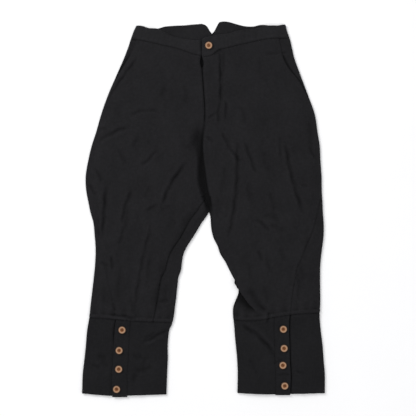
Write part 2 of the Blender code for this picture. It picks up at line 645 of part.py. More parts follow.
def build_cuff(side: Side, look: bpy.types.Material) -> None:
    """Cuff: one band round the calf whose outer end runs in under the button band, and that band."""
    right = side.sign < 0
    seam, hem = (CUFF_SEAM_RIGHT, HEM_RIGHT) if right else (CUFF_SEAM_LEFT, HEM_LEFT)
    band_end = BAND_END_RIGHT if right else BAND_END_LEFT
    edge = seam_at(side, CUFF_BAND)
    top = edge_curve(seam, SEAM / 2)

    def start(down: np.ndarray) -> np.ndarray:
        return edge(down) + CUFF_BAND_WIDTH - LAP_RUN

    def stop(down: np.ndarray) -> np.ndarray:
        return -2 * side.over(down) + edge(down) + CUFF_BAND_WIDTH + SEAM

    def sink(across: np.ndarray, around: np.ndarray, down: np.ndarray) -> np.ndarray:
        return LAP_SINK * ease((around - edge(down) + LAP_EASE + 2) / LAP_EASE)

    stretch = Stretch(side, start, stop, top, edge_curve(hem), CUFF_ROWS, CUFF_COLUMNS)
    panel(f"cuff_{side.name}", stretch, BAND, look, sink)

    def band_stop(down: np.ndarray) -> np.ndarray:
        return edge(down) + CUFF_BAND_WIDTH

    rows = np.linspace(CUFF_ROWS[0], band_end, 9)
    stretch = Stretch(side, edge, band_stop, top, level(band_end), rows, CUFF_BAND_COLUMNS)
    panel(f"cuff_band_{side.name}", stretch, BAND, look)


def button_mesh() -> bpy.types.Mesh:
    """A turned button: flat back, rounded rim and a sunk middle, standing on z = 0."""
    profile = (
        (0.0, 0.0), (0.82, 0.0), (1.0, 0.32), (1.0, 0.62), (0.86, 1.0), (0.68, 0.94), (0.52, 0.62), (0.0, 0.56),
    )
    shaped = bmesh.new()
    centre_back = shaped.verts.new((0, 0, 0))
    centre_front = shaped.verts.new((0, 0, profile[-1][1] * BUTTON_HEIGHT * MM))
    rings = []
    for radius, height in profile[1:-1]:
        reach = radius * BUTTON_RADIUS * MM
        rise = height * BUTTON_HEIGHT * MM
        ring = []
        for step in range(BUTTON_SIDES):
            angle = 2 * math.pi * step / BUTTON_SIDES
            ring.append(shaped.verts.new((reach * math.cos(angle), reach * math.sin(angle), rise)))
        rings.append(ring)
    for step in range(BUTTON_SIDES):
        after = (step + 1) % BUTTON_SIDES
        shaped.faces.new((centre_back, rings[0][after], rings[0][step]))
        shaped.faces.new((centre_front, rings[-1][step], rings[-1][after]))
        for low, high in zip(rings, rings[1:]):
            shaped.faces.new((low[step], low[after], high[after], high[step]))
    bmesh.ops.recalc_face_normals(shaped, faces=shaped.faces)
    mesh = bpy.data.meshes.new("button")
    shaped.to_mesh(mesh)
    shaped.free()
    mesh.shade_smooth()
    mesh.set_sharp_from_angle(angle=SHARP)
    return mesh


def build_button(name: str, place: Edge, side: Side, look: bpy.types.Material) -> None:
    """Seat a button on the cloth: level with the highest point under it, just clear of it."""
    turns = np.linspace(0, 2 * math.pi, 12, endpoint=False)
    across = np.concatenate([[place.across], place.across + BUTTON_RADIUS * np.cos(turns)])
    down = np.concatenate([[place.down], place.down + BUTTON_RADIUS * np.sin(turns)])
    under = side.skin(side.at_across(across, down), down)[:, 2].max()
    button = add_object(name, button_mesh(), look)
    button.location = (place.across * MM, (LENGTH / 2 - place.down) * MM, (under + SEAM) * MM)


def main() -> None:
    """Clear the scene and build every piece."""
    for item in list(bpy.data.objects):
        bpy.data.objects.remove(item, do_unlink=True)
    cotton = material("black_cotton", BLACK_COTTON, COTTON_ROUGHNESS)
    wood = material("button_wood", BUTTON_WOOD, WOOD_ROUGHNESS)
    for side in (Side("right"), Side("left")):
        build_back(side, cotton)
        build_front(side, cotton)
        build_waistband_back(side, cotton)
        build_waistband_front(side, cotton)
        build_pocket_facing(side, cotton)
        build_cuff(side, cotton)
        places = RIGHT_CUFF_BUTTONS if side.sign < 0 else LEFT_CUFF_BUTTONS
        for number, place in enumerate(places, start=1):
            build_button(f"button_cuff_{side.name}_{number}", place, side, wood)
    build_fly(cotton)
    build_button("button_waist", WAIST_BUTTON, Side("left"), wood)


main()
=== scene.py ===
"""Button-cuff breeches of black cotton, laid flat with the front up.

Frame: metres, +Z up, the waist towards +Y and the wearer's left towards +X.  Sizes in plan are
millimetres: `across` from the middle line towards the wearer's left, `down` from the highest point of
the back waistband.  Each half of the garment is one skin, a flattened tube on the floor, and `around` is
the distance along it from the middle of the outer roll, positive over the top, negative underneath.
Every panel is a stretch of that skin, with its own creases, seams, wall and stitching.
"""
import logging
import math
from dataclasses import dataclass, field
from enum import Enum
from typing import Callable, ClassVar, NamedTuple

import bpy
import numpy as np
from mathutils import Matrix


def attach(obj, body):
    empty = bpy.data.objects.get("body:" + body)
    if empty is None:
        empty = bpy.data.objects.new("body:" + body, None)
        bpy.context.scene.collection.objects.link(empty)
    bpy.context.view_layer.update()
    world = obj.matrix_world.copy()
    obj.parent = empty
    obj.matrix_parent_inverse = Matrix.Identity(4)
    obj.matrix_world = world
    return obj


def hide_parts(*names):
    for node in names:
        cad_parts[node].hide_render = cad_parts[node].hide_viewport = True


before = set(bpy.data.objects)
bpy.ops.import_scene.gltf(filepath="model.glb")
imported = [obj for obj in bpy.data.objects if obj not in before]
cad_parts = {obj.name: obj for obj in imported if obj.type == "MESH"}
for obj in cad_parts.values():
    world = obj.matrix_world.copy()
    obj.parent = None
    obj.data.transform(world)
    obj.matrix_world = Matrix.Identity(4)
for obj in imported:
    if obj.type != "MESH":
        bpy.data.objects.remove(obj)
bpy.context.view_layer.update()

log = logging.getLogger("breeches")

MM = 0.001
LENGTH = 955.0            # from the higher back peak to the lower end of the cuff bands
CLOTH = 1.1               # wall of one layer of the cotton
BAND = 1.6                # wall of the doubled waistband and cuffs
FACING = 1.0              # wall of the fly and pocket facings
SEAM = 0.3                # room between two pieces at a seam
CROTCH = 444.0            # where the four inner seams meet
LEG_END = 752.0           # nominal lower end of the leg panels
TAB_END = -4.0            # visible end of the left waistband, past the middle line
WAIST_END_RIGHT = 28.0    # hidden end of the right waistband
LAP_SINK = BAND + 1.3     # how far an under layer lies below an overlapping band
LAP_EASE = 6.0            # length over which it sinks away
CUFF_EASE_FROM = 795.0    # where a cuff's lap becomes less deep, below the top button,
CUFF_EASE = 40.0          # and over what length
CUFF_TUCK = 0.5           # how far the cuffs' tops run in under the legs' welts
BAND_WIDTH = 38.0         # width of the cuffs' buttonhole bands
CELL = 2.3                # size of a front panel's mesh cells
CUFF_CELL = 2.4           # size of a cuff's
FINE_CELL = 1.9           # size of a band's mesh cells
ROUNDING = (0.5, 1.2)     # places close to a panel's edges that have a row or column of their own
MOUTH_START = 72.0        # from here down the pocket's mouth lies open over its facing
MOUTH_EASE = 22.0         # length over which it opens
PRESSED_FROM = 230.0      # from here down the side seams are pressed
PRESSED_EASE = 120.0      # length over which they flatten
WAVES = 11                # waves that make up the cloth's unevenness
WAVE_SPREAD = (0.7, 1.6)  # their lengths, as shares of the given one

Curve = Callable[[np.ndarray], np.ndarray]                            # a place or distance at other places
Sink = Callable[[np.ndarray, np.ndarray, np.ndarray], np.ndarray]     # a depth at places across, around and down


class Width(NamedTuple):
    """Outer half widths of the two sides."""
    down: float
    right: float
    left: float


class InnerLeg(NamedTuple):
    """Inner edges of the two legs, each counted outwards from the middle line."""
    down: float
    right: float
    left: float


class Centre(NamedTuple):
    """Centre lines, towards the wearer's left, and half the width of the slit between the fronts."""
    down: float
    front: float
    slit: float
    back: float


class Loft(NamedTuple):
    """Height of the top layer, and its height along the inner line."""
    down: float
    top: float
    inner: float


class Groove(NamedTuple):
    """The low ledge beside the inner line of each side, how wide the rise from it is, and how strongly shade is
    painted into it.
    """
    down: float
    right_ledge: float
    left_ledge: float
    right_reach: float
    left_reach: float
    dark: float


class Seam(NamedTuple):
    """Distance of a seam from the edge of the skin, at one place down."""
    down: float
    right: float
    left: float


class Edge(NamedTuple):
    """A place in plan, counted towards the wearer's left."""
    across: float
    down: float


class Crease(NamedTuple):
    """A crease through three places in plan: half width, depth (below nought sinks), and its side ridge.

    The ridge is a share of the depth; above nought it lies on the right hand of the way from start to
    end, seen from above, and below nought on the left hand.
    """
    start: tuple[float, float]
    middle: tuple[float, float]
    end: tuple[float, float]
    width: float
    depth: float
    lip: float


class Overhang(NamedTuple):
    """A fold whose upper cloth hangs over: its line, half width, reach sideways, rise and pit below.

    The rest says how it ends.  It sets in and dies out over shares of its length, and past its line over
    a few millimetres.  Its half width is `taper` times the given one at the start and a whole one less at
    the end, and its tail reaches out `tail` half widths.  It stays clear of the inner roll, and no cloth
    is pressed below the lowest height.
    """
    start: tuple[float, float]
    end: tuple[float, float]
    width: float
    reach: float
    rise: float
    pit: float
    sets_in: float = 0.06
    dies_out: float = 0.4
    past: float = 5.0
    taper: float = 1.5
    tail: float = 4.5
    clear: float = 6.0
    lowest: float = 2.8


class Ripple(NamedTuple):
    """Unevenness of the cloth: its height, wavelength and seed."""
    height: float
    wavelength: float
    seed: int


class Wave(NamedTuple):
    """A wave along an edge, whose phase strays in a second, longer one."""
    pitch: float
    stray: float
    drift: float
    turn: float = 0.0

    def at(self, along: np.ndarray) -> np.ndarray:
        """Height of the wave, from -1 to 1."""
        return np.sin(2 * math.pi * along / self.pitch + self.stray * np.sin(along / self.drift) + self.turn)


def rows(kind: type, *values: tuple) -> tuple:
    """Rows of one kind, from their plain values."""
    return tuple(kind(*value) for value in values)


WIDTHS = rows(
    Width,
    (7, 169, 209), (20, 176, 212), (41, 184, 219), (61, 190, 224), (87, 200, 230), (135, 221, 247),
    (186, 243, 266), (237, 261, 284), (283, 274, 291), (314, 284, 296), (352, 293, 298), (398, 300, 301),
    (433, 298, 301.5), (459, 293, 303), (484, 288, 304), (510, 280.5, 306), (543, 277, 306),
    (581, 274.5, 301.5), (612, 275.5, 298), (658, 280, 297), (709, 286, 297.5), (755, 291, 296),
    (785, 296, 298.5), (826, 299.5, 303.5), (867, 304, 306.5), (887, 306.5, 308.5), (945, 309, 309),
)

INNER_LEGS = rows(
    InnerLeg,
    (CROTCH, -6.7, 5.4), (459, -10, 8.7), (472, -12.9, 11.5), (482, -14.9, 13.7), (490, -11, 16.2),
    (500, -4.5, 18), (510, 3, 18.6), (530, 15, 20.5), (551, 28, 26), (571, 41, 36), (591, 50.5, 43),
    (612, 54.5, 56), (632, 57, 66), (653, 64, 77), (668, 65.5, 86), (690, 68, 89), (709, 70, 82),
    (724, 72, 76.5), (755, 76.5, 76), (768, 79.5, 77.5), (785, 87, 79), (800, 89, 80), (830, 91, 83),
    (850, 90.5, 85), (887, 92, 87), (945, 94, 86.5),
)

CENTRES = rows(
    Centre,
    (20, -5, 0.2, 21.6), (87, -6, 1.6, 19), (105, -4, 4.6, 18), (120, -3.2, 2.0, 16), (135, -2.3, 1.7, 15),
    (173, 0.5, 1.4, 11), (245, 3.3, 1.0, 5), (262, 2.6, 0.2, 3), (285, -1.5, 0.2, 0), (350, -3, 0.2, -3),
    (398, -1, 0.2, -1), (430, 3, 0.2, 3), (CROTCH, 6, 0.2, 6),
)

LOFTS = rows(
    Loft,
    (0, 6.4, 6.4), (60, 6.8, 6.8), (120, 8.0, 8.0), (255, 9.8, 8.8), (275, 10.2, 6.4), (300, 10.8, 3.2),
    (330, 11.4, 2.7), (377, 12.0, 2.6), (CROTCH, 11.8, 2.7), (484, 10.6, 3.8), (520, 9.8, 5.4), (560, 9.4, 6.0),
    (700, 9.0, 6.0), (745, 8.8, 6.0), (764, 7.0, 5.8), (800, 6.9, 5.8), (955, 6.4, 5.6),
)

GROOVES = rows(
    Groove,
    (0, 0, 0, 30, 30, 0), (250, 0, 0, 28, 28, 0), (272, 0, 0, 30, 12, 0.2), (300, 1, 0.3, 32, 6, 0.55),
    (326, 2, 1.5, 20, 5, 0.85), (350, 3.5, 3, 12, 5, 1), (377, 5.5, 5.5, 10, 5, 1), (416, 5.5, 7.5, 11, 5, 1),
    (CROTCH, 3.5, 8, 10, 5, 1), (467, 1.5, 6.5, 7, 5, 1), (478, 0.5, 4.5, 7, 6, 0.7), (490, 0, 2, 14, 12, 0.1),
    (520, 0, 0, 18, 18, 0), (560, 0, 0, 28, 28, 0), (955, 0, 0, 24, 24, 0),
)

POCKET_MOUTH = rows(
    Seam,
    (40, 16, 30), (84, 14.5, 30), (105, 10, 28.5), (122, 7.5, 24), (135, 5.5, 18), (145, 4, 13), (153, 2.5, 10),
    (165, 0, 7.5), (173, 0, 6.5), (186, 0, 4), (202, 0, 0),
)
POCKET_TOP = 50.0                                # where the facings' rows start, under the waistband
POCKET_END = {"right": 143.0, "left": 192.0}     # lower ends of the facings
POCKET_LAP = 18.0                                # how far a facing runs in under the front
POCKET_SINK = CLOTH + 1.7                        # how deep it lies there
POCKET_SINK_TOP = CLOTH + 0.35                   # the same beside the waistband, where the mouth is closed
OUTSEAM_SHOWN = {"right": 0.12, "left": 0.55}    # share of its relief that a pressed side seam keeps

OUTSEAM = rows(
    Seam,
    (433, 0, 0), (467, 0, 10), (500, 3, 20), (535, 8, 31), (569, 14, 43), (602, 22, 51), (627, 29, 60),
    (658, 38, 66), (696, 51, 73), (755, 67, 77),
)

INSEAM = rows(
    Seam,
    (CROTCH, 0, 0), (450, 2, 0), (461, 13, 1.5), (474, 26, 4), (484, 33, 4), (497, 36, 4), (520, 35, 4),
    (561, 33, 4), (612, 39, 4), (663, 46, 4), (710, 49, 4), (755, 51, 4),
)

WAIST_TOP_FRONT = {
    "right": rows(
        Edge,
        (-180, 22), (-174, 13), (-166, 10.5), (-155, 11.5), (-140, 16.5), (-117, 18.5), (-102, 25.5), (-89, 33),
        (-64, 41), (-33, 46.5), (-8, 48), (28, 47),
    ),
    "left": rows(
        Edge,
        (-4, 46), (1, 42), (15, 38.5), (33, 34), (64, 30.5), (84, 24.5), (107, 20.5), (133, 18), (158, 11),
        (176, 10), (191, 10), (203, 8), (210, 10), (214, 20),
    ),
}
WAIST_SEAM_FRONT = {
    "right": rows(
        Edge,
        (-190, 45.5), (-170, 47), (-130, 55), (-102, 61.5), (-71, 68.5), (-46, 76.5), (-24, 84), (-4, 87),
        (28, 87.5),
    ),
    "left": rows(
        Edge,
        (-4, 90), (14, 88.5), (28, 82), (38, 74), (50, 70), (64, 67), (84, 61.5), (112, 55.5), (140, 49),
        (165, 44.5), (190, 43), (222, 43),
    ),
}
WAIST_TOP_BACK = {
    "right": rows(
        Edge,
        (-180, 23), (-174, 14), (-166, 11.5), (-155, 12.5), (-140, 17.5), (-117, 17.5), (-99, 12.5),
        (-79, 10.5), (-48, 9), (-18, 6.5), (0, 6.5), (9, 12), (15, 22), (21.6, 31),
    ),
    "left": rows(
        Edge,
        (21.6, 31), (29, 22), (34, 12), (40, 2), (46, 0), (64, 0.5), (80, 5), (107, 11.5), (128, 12), (146, 8),
        (160, 8.5), (176, 11), (191, 11), (203, 9), (210, 11), (214, 21),
    ),
}
WAIST_SEAM_BACK = {
    "right": rows(Edge, (-190, 45.5), (-150, 49), (-90, 54), (-30, 60), (21.6, 66)),
    "left": rows(Edge, (21.6, 66), (60, 58), (120, 50), (180, 45), (222, 43)),
}
CUFF_SEAM = {
    "right": rows(Edge, (-310, 752), (-226, 758), (-150, 764), (-60, 766)),
    "left": rows(Edge, (60, 758), (130, 761), (190, 751), (240, 744), (310, 741)),
}
HEM = {
    "right": rows(Edge, (-315, 945), (-250, 951), (-150, 950), (-85, 948)),
    "left": rows(Edge, (80, 944.5), (160, 948), (250, 946.5), (315, 945)),
}
BAND_END = {"right": 955.0, "left": 950.0}        # lower ends of the cuffs' bands
CUFF_LAP_EASED = {"right": 0.95, "left": 0.0}     # how much less deep the cuffs' laps lie further down
CUFF_BAND = rows(Seam, (740, 70, 78), (830, 74, 86.5), (945, 79, 90))

FLY_EDGE = rows(Edge, (36.5, 91), (37.5, 150), (38.5, 205), (35.5, 225), (27, 240), (14, 250))
FLY_TOP = 93.0                          # ends of the fly's facing
FLY_END = 250.0
FLY_SINK = CLOTH + 0.55                 # how deep the facing lies
UNDERLAP_ACROSS = (-16.0, 31.0)         # sides and ends of the fly's underlap
UNDERLAP_TOP = 116.0
UNDERLAP_END = 258.0
UNDERLAP_SINK = CLOTH + FACING + 0.85   # how deep the underlap lies behind the facing,
UNDERLAP_RISE = FACING - 0.05           # and how much it rises beside the right front,
UNDERLAP_FLAT = 3.0                     # this far past the slit
FLY_STITCHING = rows(Edge, (41, 78), (42, 150), (42.5, 203), (39, 226), (27, 246), (10, 257))

CUFF_BUTTONS = {
    "right": rows(Edge, (-206.5, 784), (-214, 836), (-215, 883.5), (-220.5, 934.5)),
    "left": rows(Edge, (203, 782), (204.8, 830.5), (201.7, 873.5), (206.5, 926)),
}
WAIST_BUTTON = Edge(13.5, 61.5)

TOP_CREASES = rows(
    Crease,
    ((-189, 242), (-152, 228), (-110, 230), 4.0, -2.2, 0.35),
    ((-270, 309), (-232, 285), (-181, 268), 4.5, -3.2, 0.40),
    ((-268, 275), (-255, 274), (-242, 275), 4.0, -1.8, 0.30),
    ((-161, 370), (-140, 353), (-117, 326), 4.0, -2.6, 0.40),
    ((-33, 350), (-82, 414), (-106, 476), 4.4, -4.2, 0.40),
    ((-112, 462), (-130, 474), (-148, 479), 4.0, -2.2, 0.40),
    ((-177, 424), (-196, 466), (-206, 520), 4.2, -3.2, 0.40),
    ((-245, 404), (-251, 480), (-258, 560), 4.2, -3.8, 0.40),
    ((-273, 377), (-264, 392), (-255, 408), 4.0, -2.4, 0.30),
    ((-293, 413), (-282, 428), (-270, 444), 4.0, -2.4, 0.40),
    ((-126, 498), (-156, 620), (-178, 764), 4.6, -2.3, 0.40),
    ((-199, 516), (-206, 542), (-214, 571), 4.0, -2.2, 0.40),
    ((-233, 594), (-232, 614), (-230, 634), 3.6, -3.0, 0.30),
    ((-261, 608), (-251, 618), (-240, 624), 4.4, -2.8, 0.40),
    ((-227, 714), (-226, 725), (-224, 738), 3.6, -2.2, 0.40),
    ((-112, 714), (-100, 712), (-87, 711), 4.0, -2.4, 0.40),
    ((-10, 268), (-22, 300), (-46, 332), 14.0, -2.2, 0.0),
    ((-163, 88), (-201, 138), (-246, 202), 3.6, -2.8, 0.40),
    ((46, 275), (68, 322), (100, 362), 4.2, -2.8, 0.40),
    ((84, 292), (85, 412), (60, 565), 4.4, -3.6, 0.40),
    ((102, 299), (117, 340), (136, 392), 4.0, -3.0, 0.40),
    ((8, 292), (17, 301), (27, 310), 4.0, -2.2, 0.30),
    ((194, 286), (195, 317), (196, 349), 4.0, -2.2, 0.40),
    ((208, 298), (226, 400), (259, 500), 4.4, -4.2, 0.45),
    ((268, 317), (275, 333), (284, 349), 4.0, -2.4, 0.40),
    ((247, 416), (256, 417), (266, 418), 3.6, -2.0, 0.30),
    ((124, 503), (150, 515), (172, 537), 4.2, -2.6, 0.40),
    ((139, 579), (144, 596), (151, 614), 4.0, -2.2, 0.40),
    ((112, 676), (138, 712), (163, 746), 6.5, -4.8, 0.20),
    ((237, 630), (242, 671), (240, 711), 4.0, -2.4, 0.40),
    ((43, 70), (44, 150), (44, 224), 3.6, -4.3, 0.20),
    ((51.5, 66), (52, 100), (51.5, 146), 3.0, -1.8, 0.20),
    ((26, 85), (37, 77.5), (50, 74), 4.2, -3.0, 0.0),
    ((56, 200), (58, 226), (56, 252), 3.4, -3.2, 0.30),
    ((42, 204), (38, 232), (40, 262), 3.4, -2.8, 0.30),
    ((37, 228), (25, 239), (8, 247), 3.0, -1.8, 0.40),
    ((-14, 470), (-52, 534), (-90, 608), 9.0, -2.2, 0.10),
    ((-92, 598), (-111, 668), (-123, 750), 8.0, -2.0, 0.10),
    ((150, 84), (186, 81), (220, 77), 3.0, -2.0, 0.30),
    ((-242, 746), (-205, 750), (-166, 758), 3.2, -3.5, 0.60),
    ((166, 736), (165, 752), (161, 770), 3.6, -3.6, 0.70),
    ((-158, 818), (-122, 801), (-84, 780), 4.2, -4.4, 0.75),
    ((-153, 809), (-134, 797), (-115, 787), 4.0, -2.8, 0.50),
    ((-174, 887), (-150, 885), (-128, 877), 5.0, -2.6, 0.40),
    ((-180, 848), (-168, 852), (-154, 851), 8.0, -2.4, 0.20),
    ((-180, 918), (-176, 906), (-168, 896), 5.5, -2.0, 0.30),
    ((-270, 849), (-257, 853), (-244, 861), 8.0, -2.3, 0.20),
    ((-288, 872), (-276, 876), (-262, 882), 4.5, -2.2, 0.30),
    ((90, 768), (140, 799), (186, 858), 5.0, -4.4, -0.60),
    ((175, 873), (188, 865), (205, 859), 3.2, -2.0, 0.50),
    ((186, 899), (202, 898), (220, 898), 3.2, -2.0, 0.50),
    ((234, 887), (245, 892), (256, 898), 3.2, -2.0, 0.50),
    ((-191, 466), (-194, 500), (-197, 535), 5.0, -1.8, 0.20),
    ((-270, 492), (-266, 520), (-264, 556), 5.0, -1.6, 0.20),
    ((-135, 594), (-141, 640), (-146, 683), 6.0, -1.7, 0.20),
    ((-90, 660), (-96, 688), (-100, 716), 5.0, -1.6, 0.20),
    ((-250, 671), (-252, 696), (-253, 722), 5.0, -1.6, 0.20),
    ((-208, 612), (-212, 660), (-217, 709), 6.0, -1.5, 0.20),
    ((-183, 700), (-181, 725), (-179, 746), 5.0, -1.8, 0.20),
    ((-161, 288), (-172, 306), (-181, 326), 6.0, -1.6, 0.20),
    ((-217, 326), (-205, 345), (-191, 365), 6.0, -1.5, 0.20),
    ((-135, 415), (-141, 434), (-148, 454), 5.5, -1.7, 0.20),
    ((-79, 466), (-95, 476), (-110, 484), 5.5, -1.7, 0.20),
    ((-96, 165), (-102, 180), (-110, 194), 6.0, -1.4, 0.20),
    ((-48, 160), (-44, 190), (-46, 214), 6.0, -1.2, 0.20),
    ((150, 492), (174, 497), (196, 510), 6.0, -1.7, 0.20),
    ((166, 518), (188, 524), (209, 536), 6.0, -1.6, 0.20),
    ((158, 594), (167, 620), (176, 645), 6.0, -1.7, 0.20),
    ((196, 569), (202, 590), (207, 612), 5.5, -1.6, 0.20),
    ((247, 607), (250, 640), (252, 671), 5.5, -1.6, 0.20),
    ((268, 543), (262, 578), (255, 612), 5.5, -1.6, 0.20),
    ((150, 671), (159, 696), (166, 722), 6.0, -1.6, 0.20),
    ((112, 612), (119, 636), (125, 658), 5.5, -1.5, 0.20),
    ((150, 326), (158, 358), (166, 390), 6.0, -1.6, 0.20),
    ((115, 403), (117, 435), (120, 466), 6.0, -1.6, 0.20),
    ((171, 428), (176, 460), (181, 492), 6.0, -1.6, 0.20),
    ((56, 365), (52, 405), (48, 441), 6.0, -1.5, 0.20),
    ((268, 250), (272, 288), (275, 326), 6.0, -1.5, 0.20),
    ((92, 214), (104, 240), (112, 268), 6.0, -1.4, 0.20),
    ((140, 90), (146, 125), (158, 158), 7.0, -1.2, 0.20),
    ((-140, 845), (-150, 866), (-152, 898), 5.0, -1.3, 0.30),
    ((-262, 860), (-250, 872), (-236, 878), 5.0, -1.3, 0.30),
    ((120, 850), (128, 880), (142, 905), 6.0, -1.3, 0.30),
)

UNDER_CREASES = rows(
    Crease,
    ((-30, 300), (-90, 352), (-150, 380), 10, 1.2, 0.0),
    ((-60, 420), (-120, 470), (-190, 490), 9, 1.4, 0.0),
    ((-230, 300), (-200, 380), (-210, 470), 10, 1.2, 0.0),
    ((-120, 560), (-180, 590), (-250, 585), 9, 1.4, 0.0),
    ((-110, 625), (-170, 640), (-240, 622), 8, 1.1, 0.0),
    ((-130, 690), (-190, 705), (-255, 695), 8, 1.0, 0.0),
    ((25, 320), (80, 370), (140, 392), 10, 1.2, 0.0),
    ((60, 450), (120, 490), (185, 500), 9, 1.3, 0.0),
    ((240, 290), (215, 380), (228, 470), 10, 1.2, 0.0),
    ((90, 575), (160, 600), (240, 592), 9, 1.4, 0.0),
    ((115, 640), (175, 655), (245, 640), 8, 1.1, 0.0),
    ((120, 705), (190, 715), (260, 700), 8, 1.0, 0.0),
    ((-150, 120), (-90, 150), (-30, 140), 9, 1.0, 0.0),
    ((50, 130), (110, 152), (175, 128), 9, 1.0, 0.0),
)

KNEE_OVERHANG = Overhang((77, 662), (140, 745), 4.0, 10.0, 3.4, 6.0)

RIPPLES = (Ripple(0.6, 78, 3), Ripple(0.34, 25, 4), Ripple(0.09, 11, 6))
DRAWN = Ripple(0.75, 32, 5)    # long lines that the cloth is drawn into below the hips
DRAWN_LEAN = 0.16              # how far they lean inwards
DRAWN_STRETCH = 0.26           # how much slower they change down than across

PUCKER = Wave(11, 1.7, 23)
GATHER = Wave(27, 2.0, 41, 0.8)
WELT_UNEVEN = Wave(61, 1.4, 19)


def column(table: tuple, name: str) -> np.ndarray:
    """One named column of a table as an array."""
    return np.array([getattr(row, name) for row in table], dtype=float)


def smooth(table: tuple, key: str, value: str, at: np.ndarray) -> np.ndarray:
    """Read a table as a smooth curve.

    Catmull-Rom: between two rows a cubic joins the values with the slopes of their neighbours, and past
    both ends the curve is level.

    Args:
        table: Rows with named columns.
        key: Column that the curve runs along.
        value: Column that it gives.
        at: Places along the key.

    Returns:
        The value at each place.
    """
    knots = column(table, key)
    values = column(table, value)
    slopes = np.gradient(values, knots)
    at = np.clip(np.asarray(at, dtype=float), knots[0], knots[-1])
    index = np.clip(np.searchsorted(knots, at) - 1, 0, len(knots) - 2)
    span = knots[index + 1] - knots[index]
    t = (at - knots[index]) / span
    rise = (2 * t**3 - 3 * t**2 + 1) * values[index] + (3 * t**2 - 2 * t**3) * values[index + 1]
    lean = (t**3 - 2 * t**2 + t) * slopes[index] + (t**3 - t**2) * slopes[index + 1]
    return rise + lean * span


def ease(t: np.ndarray) -> np.ndarray:
    """Smooth step from 0 to 1."""
    t = np.clip(t, 0.0, 1.0)
    return t * t * (3 - 2 * t)


def bell(place: np.ndarray, middle: float, width: np.ndarray | float) -> np.ndarray:
    """A bell that is 1 at its middle."""
    return np.exp(-(((place - middle) / width) ** 2))


def quarter(half_width: np.ndarray, half_height: np.ndarray) -> np.ndarray:
    """Length of a quarter of an ellipse, close enough for a roll."""
    return 0.5 * math.pi * np.sqrt((half_width**2 + half_height**2) / 2)


@dataclass(frozen=True)
class CreaseShape:
    """How creases are drawn.  Lengths are counted in the crease's half width."""
    middles: tuple[float, float] = (0.2, 0.8)    # limits of its middle place, as shares of the way
    reach: float = 5.0                           # beyond this it isn't worked out
    fade: float = 0.24                           # share of the way over which either end dies out
    stray: float = 0.22                          # how far its line wanders
    stray_length: float = 9.0
    uneven: float = 0.2                          # how much its depth changes along it
    uneven_length: float = 14.0
    uneven_turn: float = 2.1                     # turn of that change from one crease to the next
    sharpness: float = 1.35                      # power of the trough's fall, where 2 is round
    ridge: tuple[float, float] = (1.8, 1.2)      # the ridge's distance and width
    far: tuple[float, float] = (1.9, 1.3)        # the same for the lower one on the other side
    far_share: float = 0.33                      # height of that one, as a share of the ridge

    def relief(self, creases: tuple, across: np.ndarray, down: np.ndarray) -> np.ndarray:
        """Height that creases add to the cloth.

        Each crease is a sharp-bottomed trough along a parabola through its three places.  A wider bell
        beside it is its ridge, and a third of that lies on the other side.  Its line wanders and its
        depth changes a little along it, and it dies out smoothly towards both ends.

        Args:
            creases: Rows of Crease.
            across: Places across.
            down: Places down.

        Returns:
            Heights in millimetres.
        """
        across, down = np.broadcast_arrays(across, down)
        total = np.zeros(across.shape)
        for number, crease in enumerate(creases):
            start, middle, end = (np.array(place, dtype=float) for place in crease[:3])
            run = end - start
            length = np.hypot(*run)
            run = run / length
            share = np.clip((middle - start) @ run / length, *self.middles)
            bow = (run[0] * (middle - start)[1] - run[1] * (middle - start)[0]) / (share * (1 - share))
            reach = self.reach * crease.width + abs(bow) / 4
            low = np.minimum(start, end) - reach
            high = np.maximum(start, end) + reach
            near = (across > low[0]) & (across < high[0]) & (down > low[1]) & (down < high[1])
            x = across[near] - start[0]
            y = down[near] - start[1]
            along = x * run[0] + y * run[1]
            t = np.clip(along / length, 0.0, 1.0)
            stray = 2 * math.pi * along / (self.stray_length * crease.width) + number
            stray = self.stray * crease.width * np.sin(stray)
            off = (y * run[0] - x * run[1] - bow * t * (1 - t) - stray) / crease.width
            past = (along - t * length) / crease.width
            uneven = 2 * math.pi * along / (self.uneven_length * crease.width) + self.uneven_turn * number
            fade = ease(t / self.fade) * ease((1 - t) / self.fade) * bell(past, 0.0, 1.0)
            fade = fade * (1 + self.uneven * np.sin(uneven))
            total[near] += crease.depth * fade * self.profile(off, crease.lip)
        return total

    def profile(self, off: np.ndarray, lip: float) -> np.ndarray:
        """Cut across a crease of one unit of depth.

        Args:
            off: Distances from its line, in half widths.
            lip: The ridge's share of the depth, below nought for one on the left hand.

        Returns:
            Shares of the depth.
        """
        side = off if lip >= 0 else -off
        ridge = bell(side, *self.ridge) + self.far_share * bell(side, -self.far[0], self.far[1])
        return np.exp(-np.abs(off) ** self.sharpness) - abs(lip) * ridge


CREASE_SHAPE = CreaseShape()


def undulation(across: np.ndarray, down: np.ndarray, wavelength: float, seed: int) -> np.ndarray:
    """Gentle unevenness: a sum of waves in seeded directions and lengths.

    Args:
        across: Places across.
        down: Places down.
        wavelength: About how long the waves are.
        seed: Seed of their directions, lengths and phases.

    Returns:
        Heights of about one unit.
    """
    chance = np.random.default_rng(seed)
    total = np.zeros(np.broadcast(across, down).shape)
    for _ in range(WAVES):
        angle, phase = chance.uniform(0, 2 * math.pi, 2)
        length = wavelength * chance.uniform(*WAVE_SPREAD)
        total += np.sin(2 * math.pi * (across * math.cos(angle) + down * math.sin(angle)) / length + phase)
    return total / math.sqrt(WAVES)


class Half(Enum):
    """The wearer's right or left half of the garment."""
    RIGHT = "right"
    LEFT = "left"

    @property
    def sign(self) -> float:
        """Direction of this half from the middle line."""
        return -1.0 if self is Half.RIGHT else 1.0


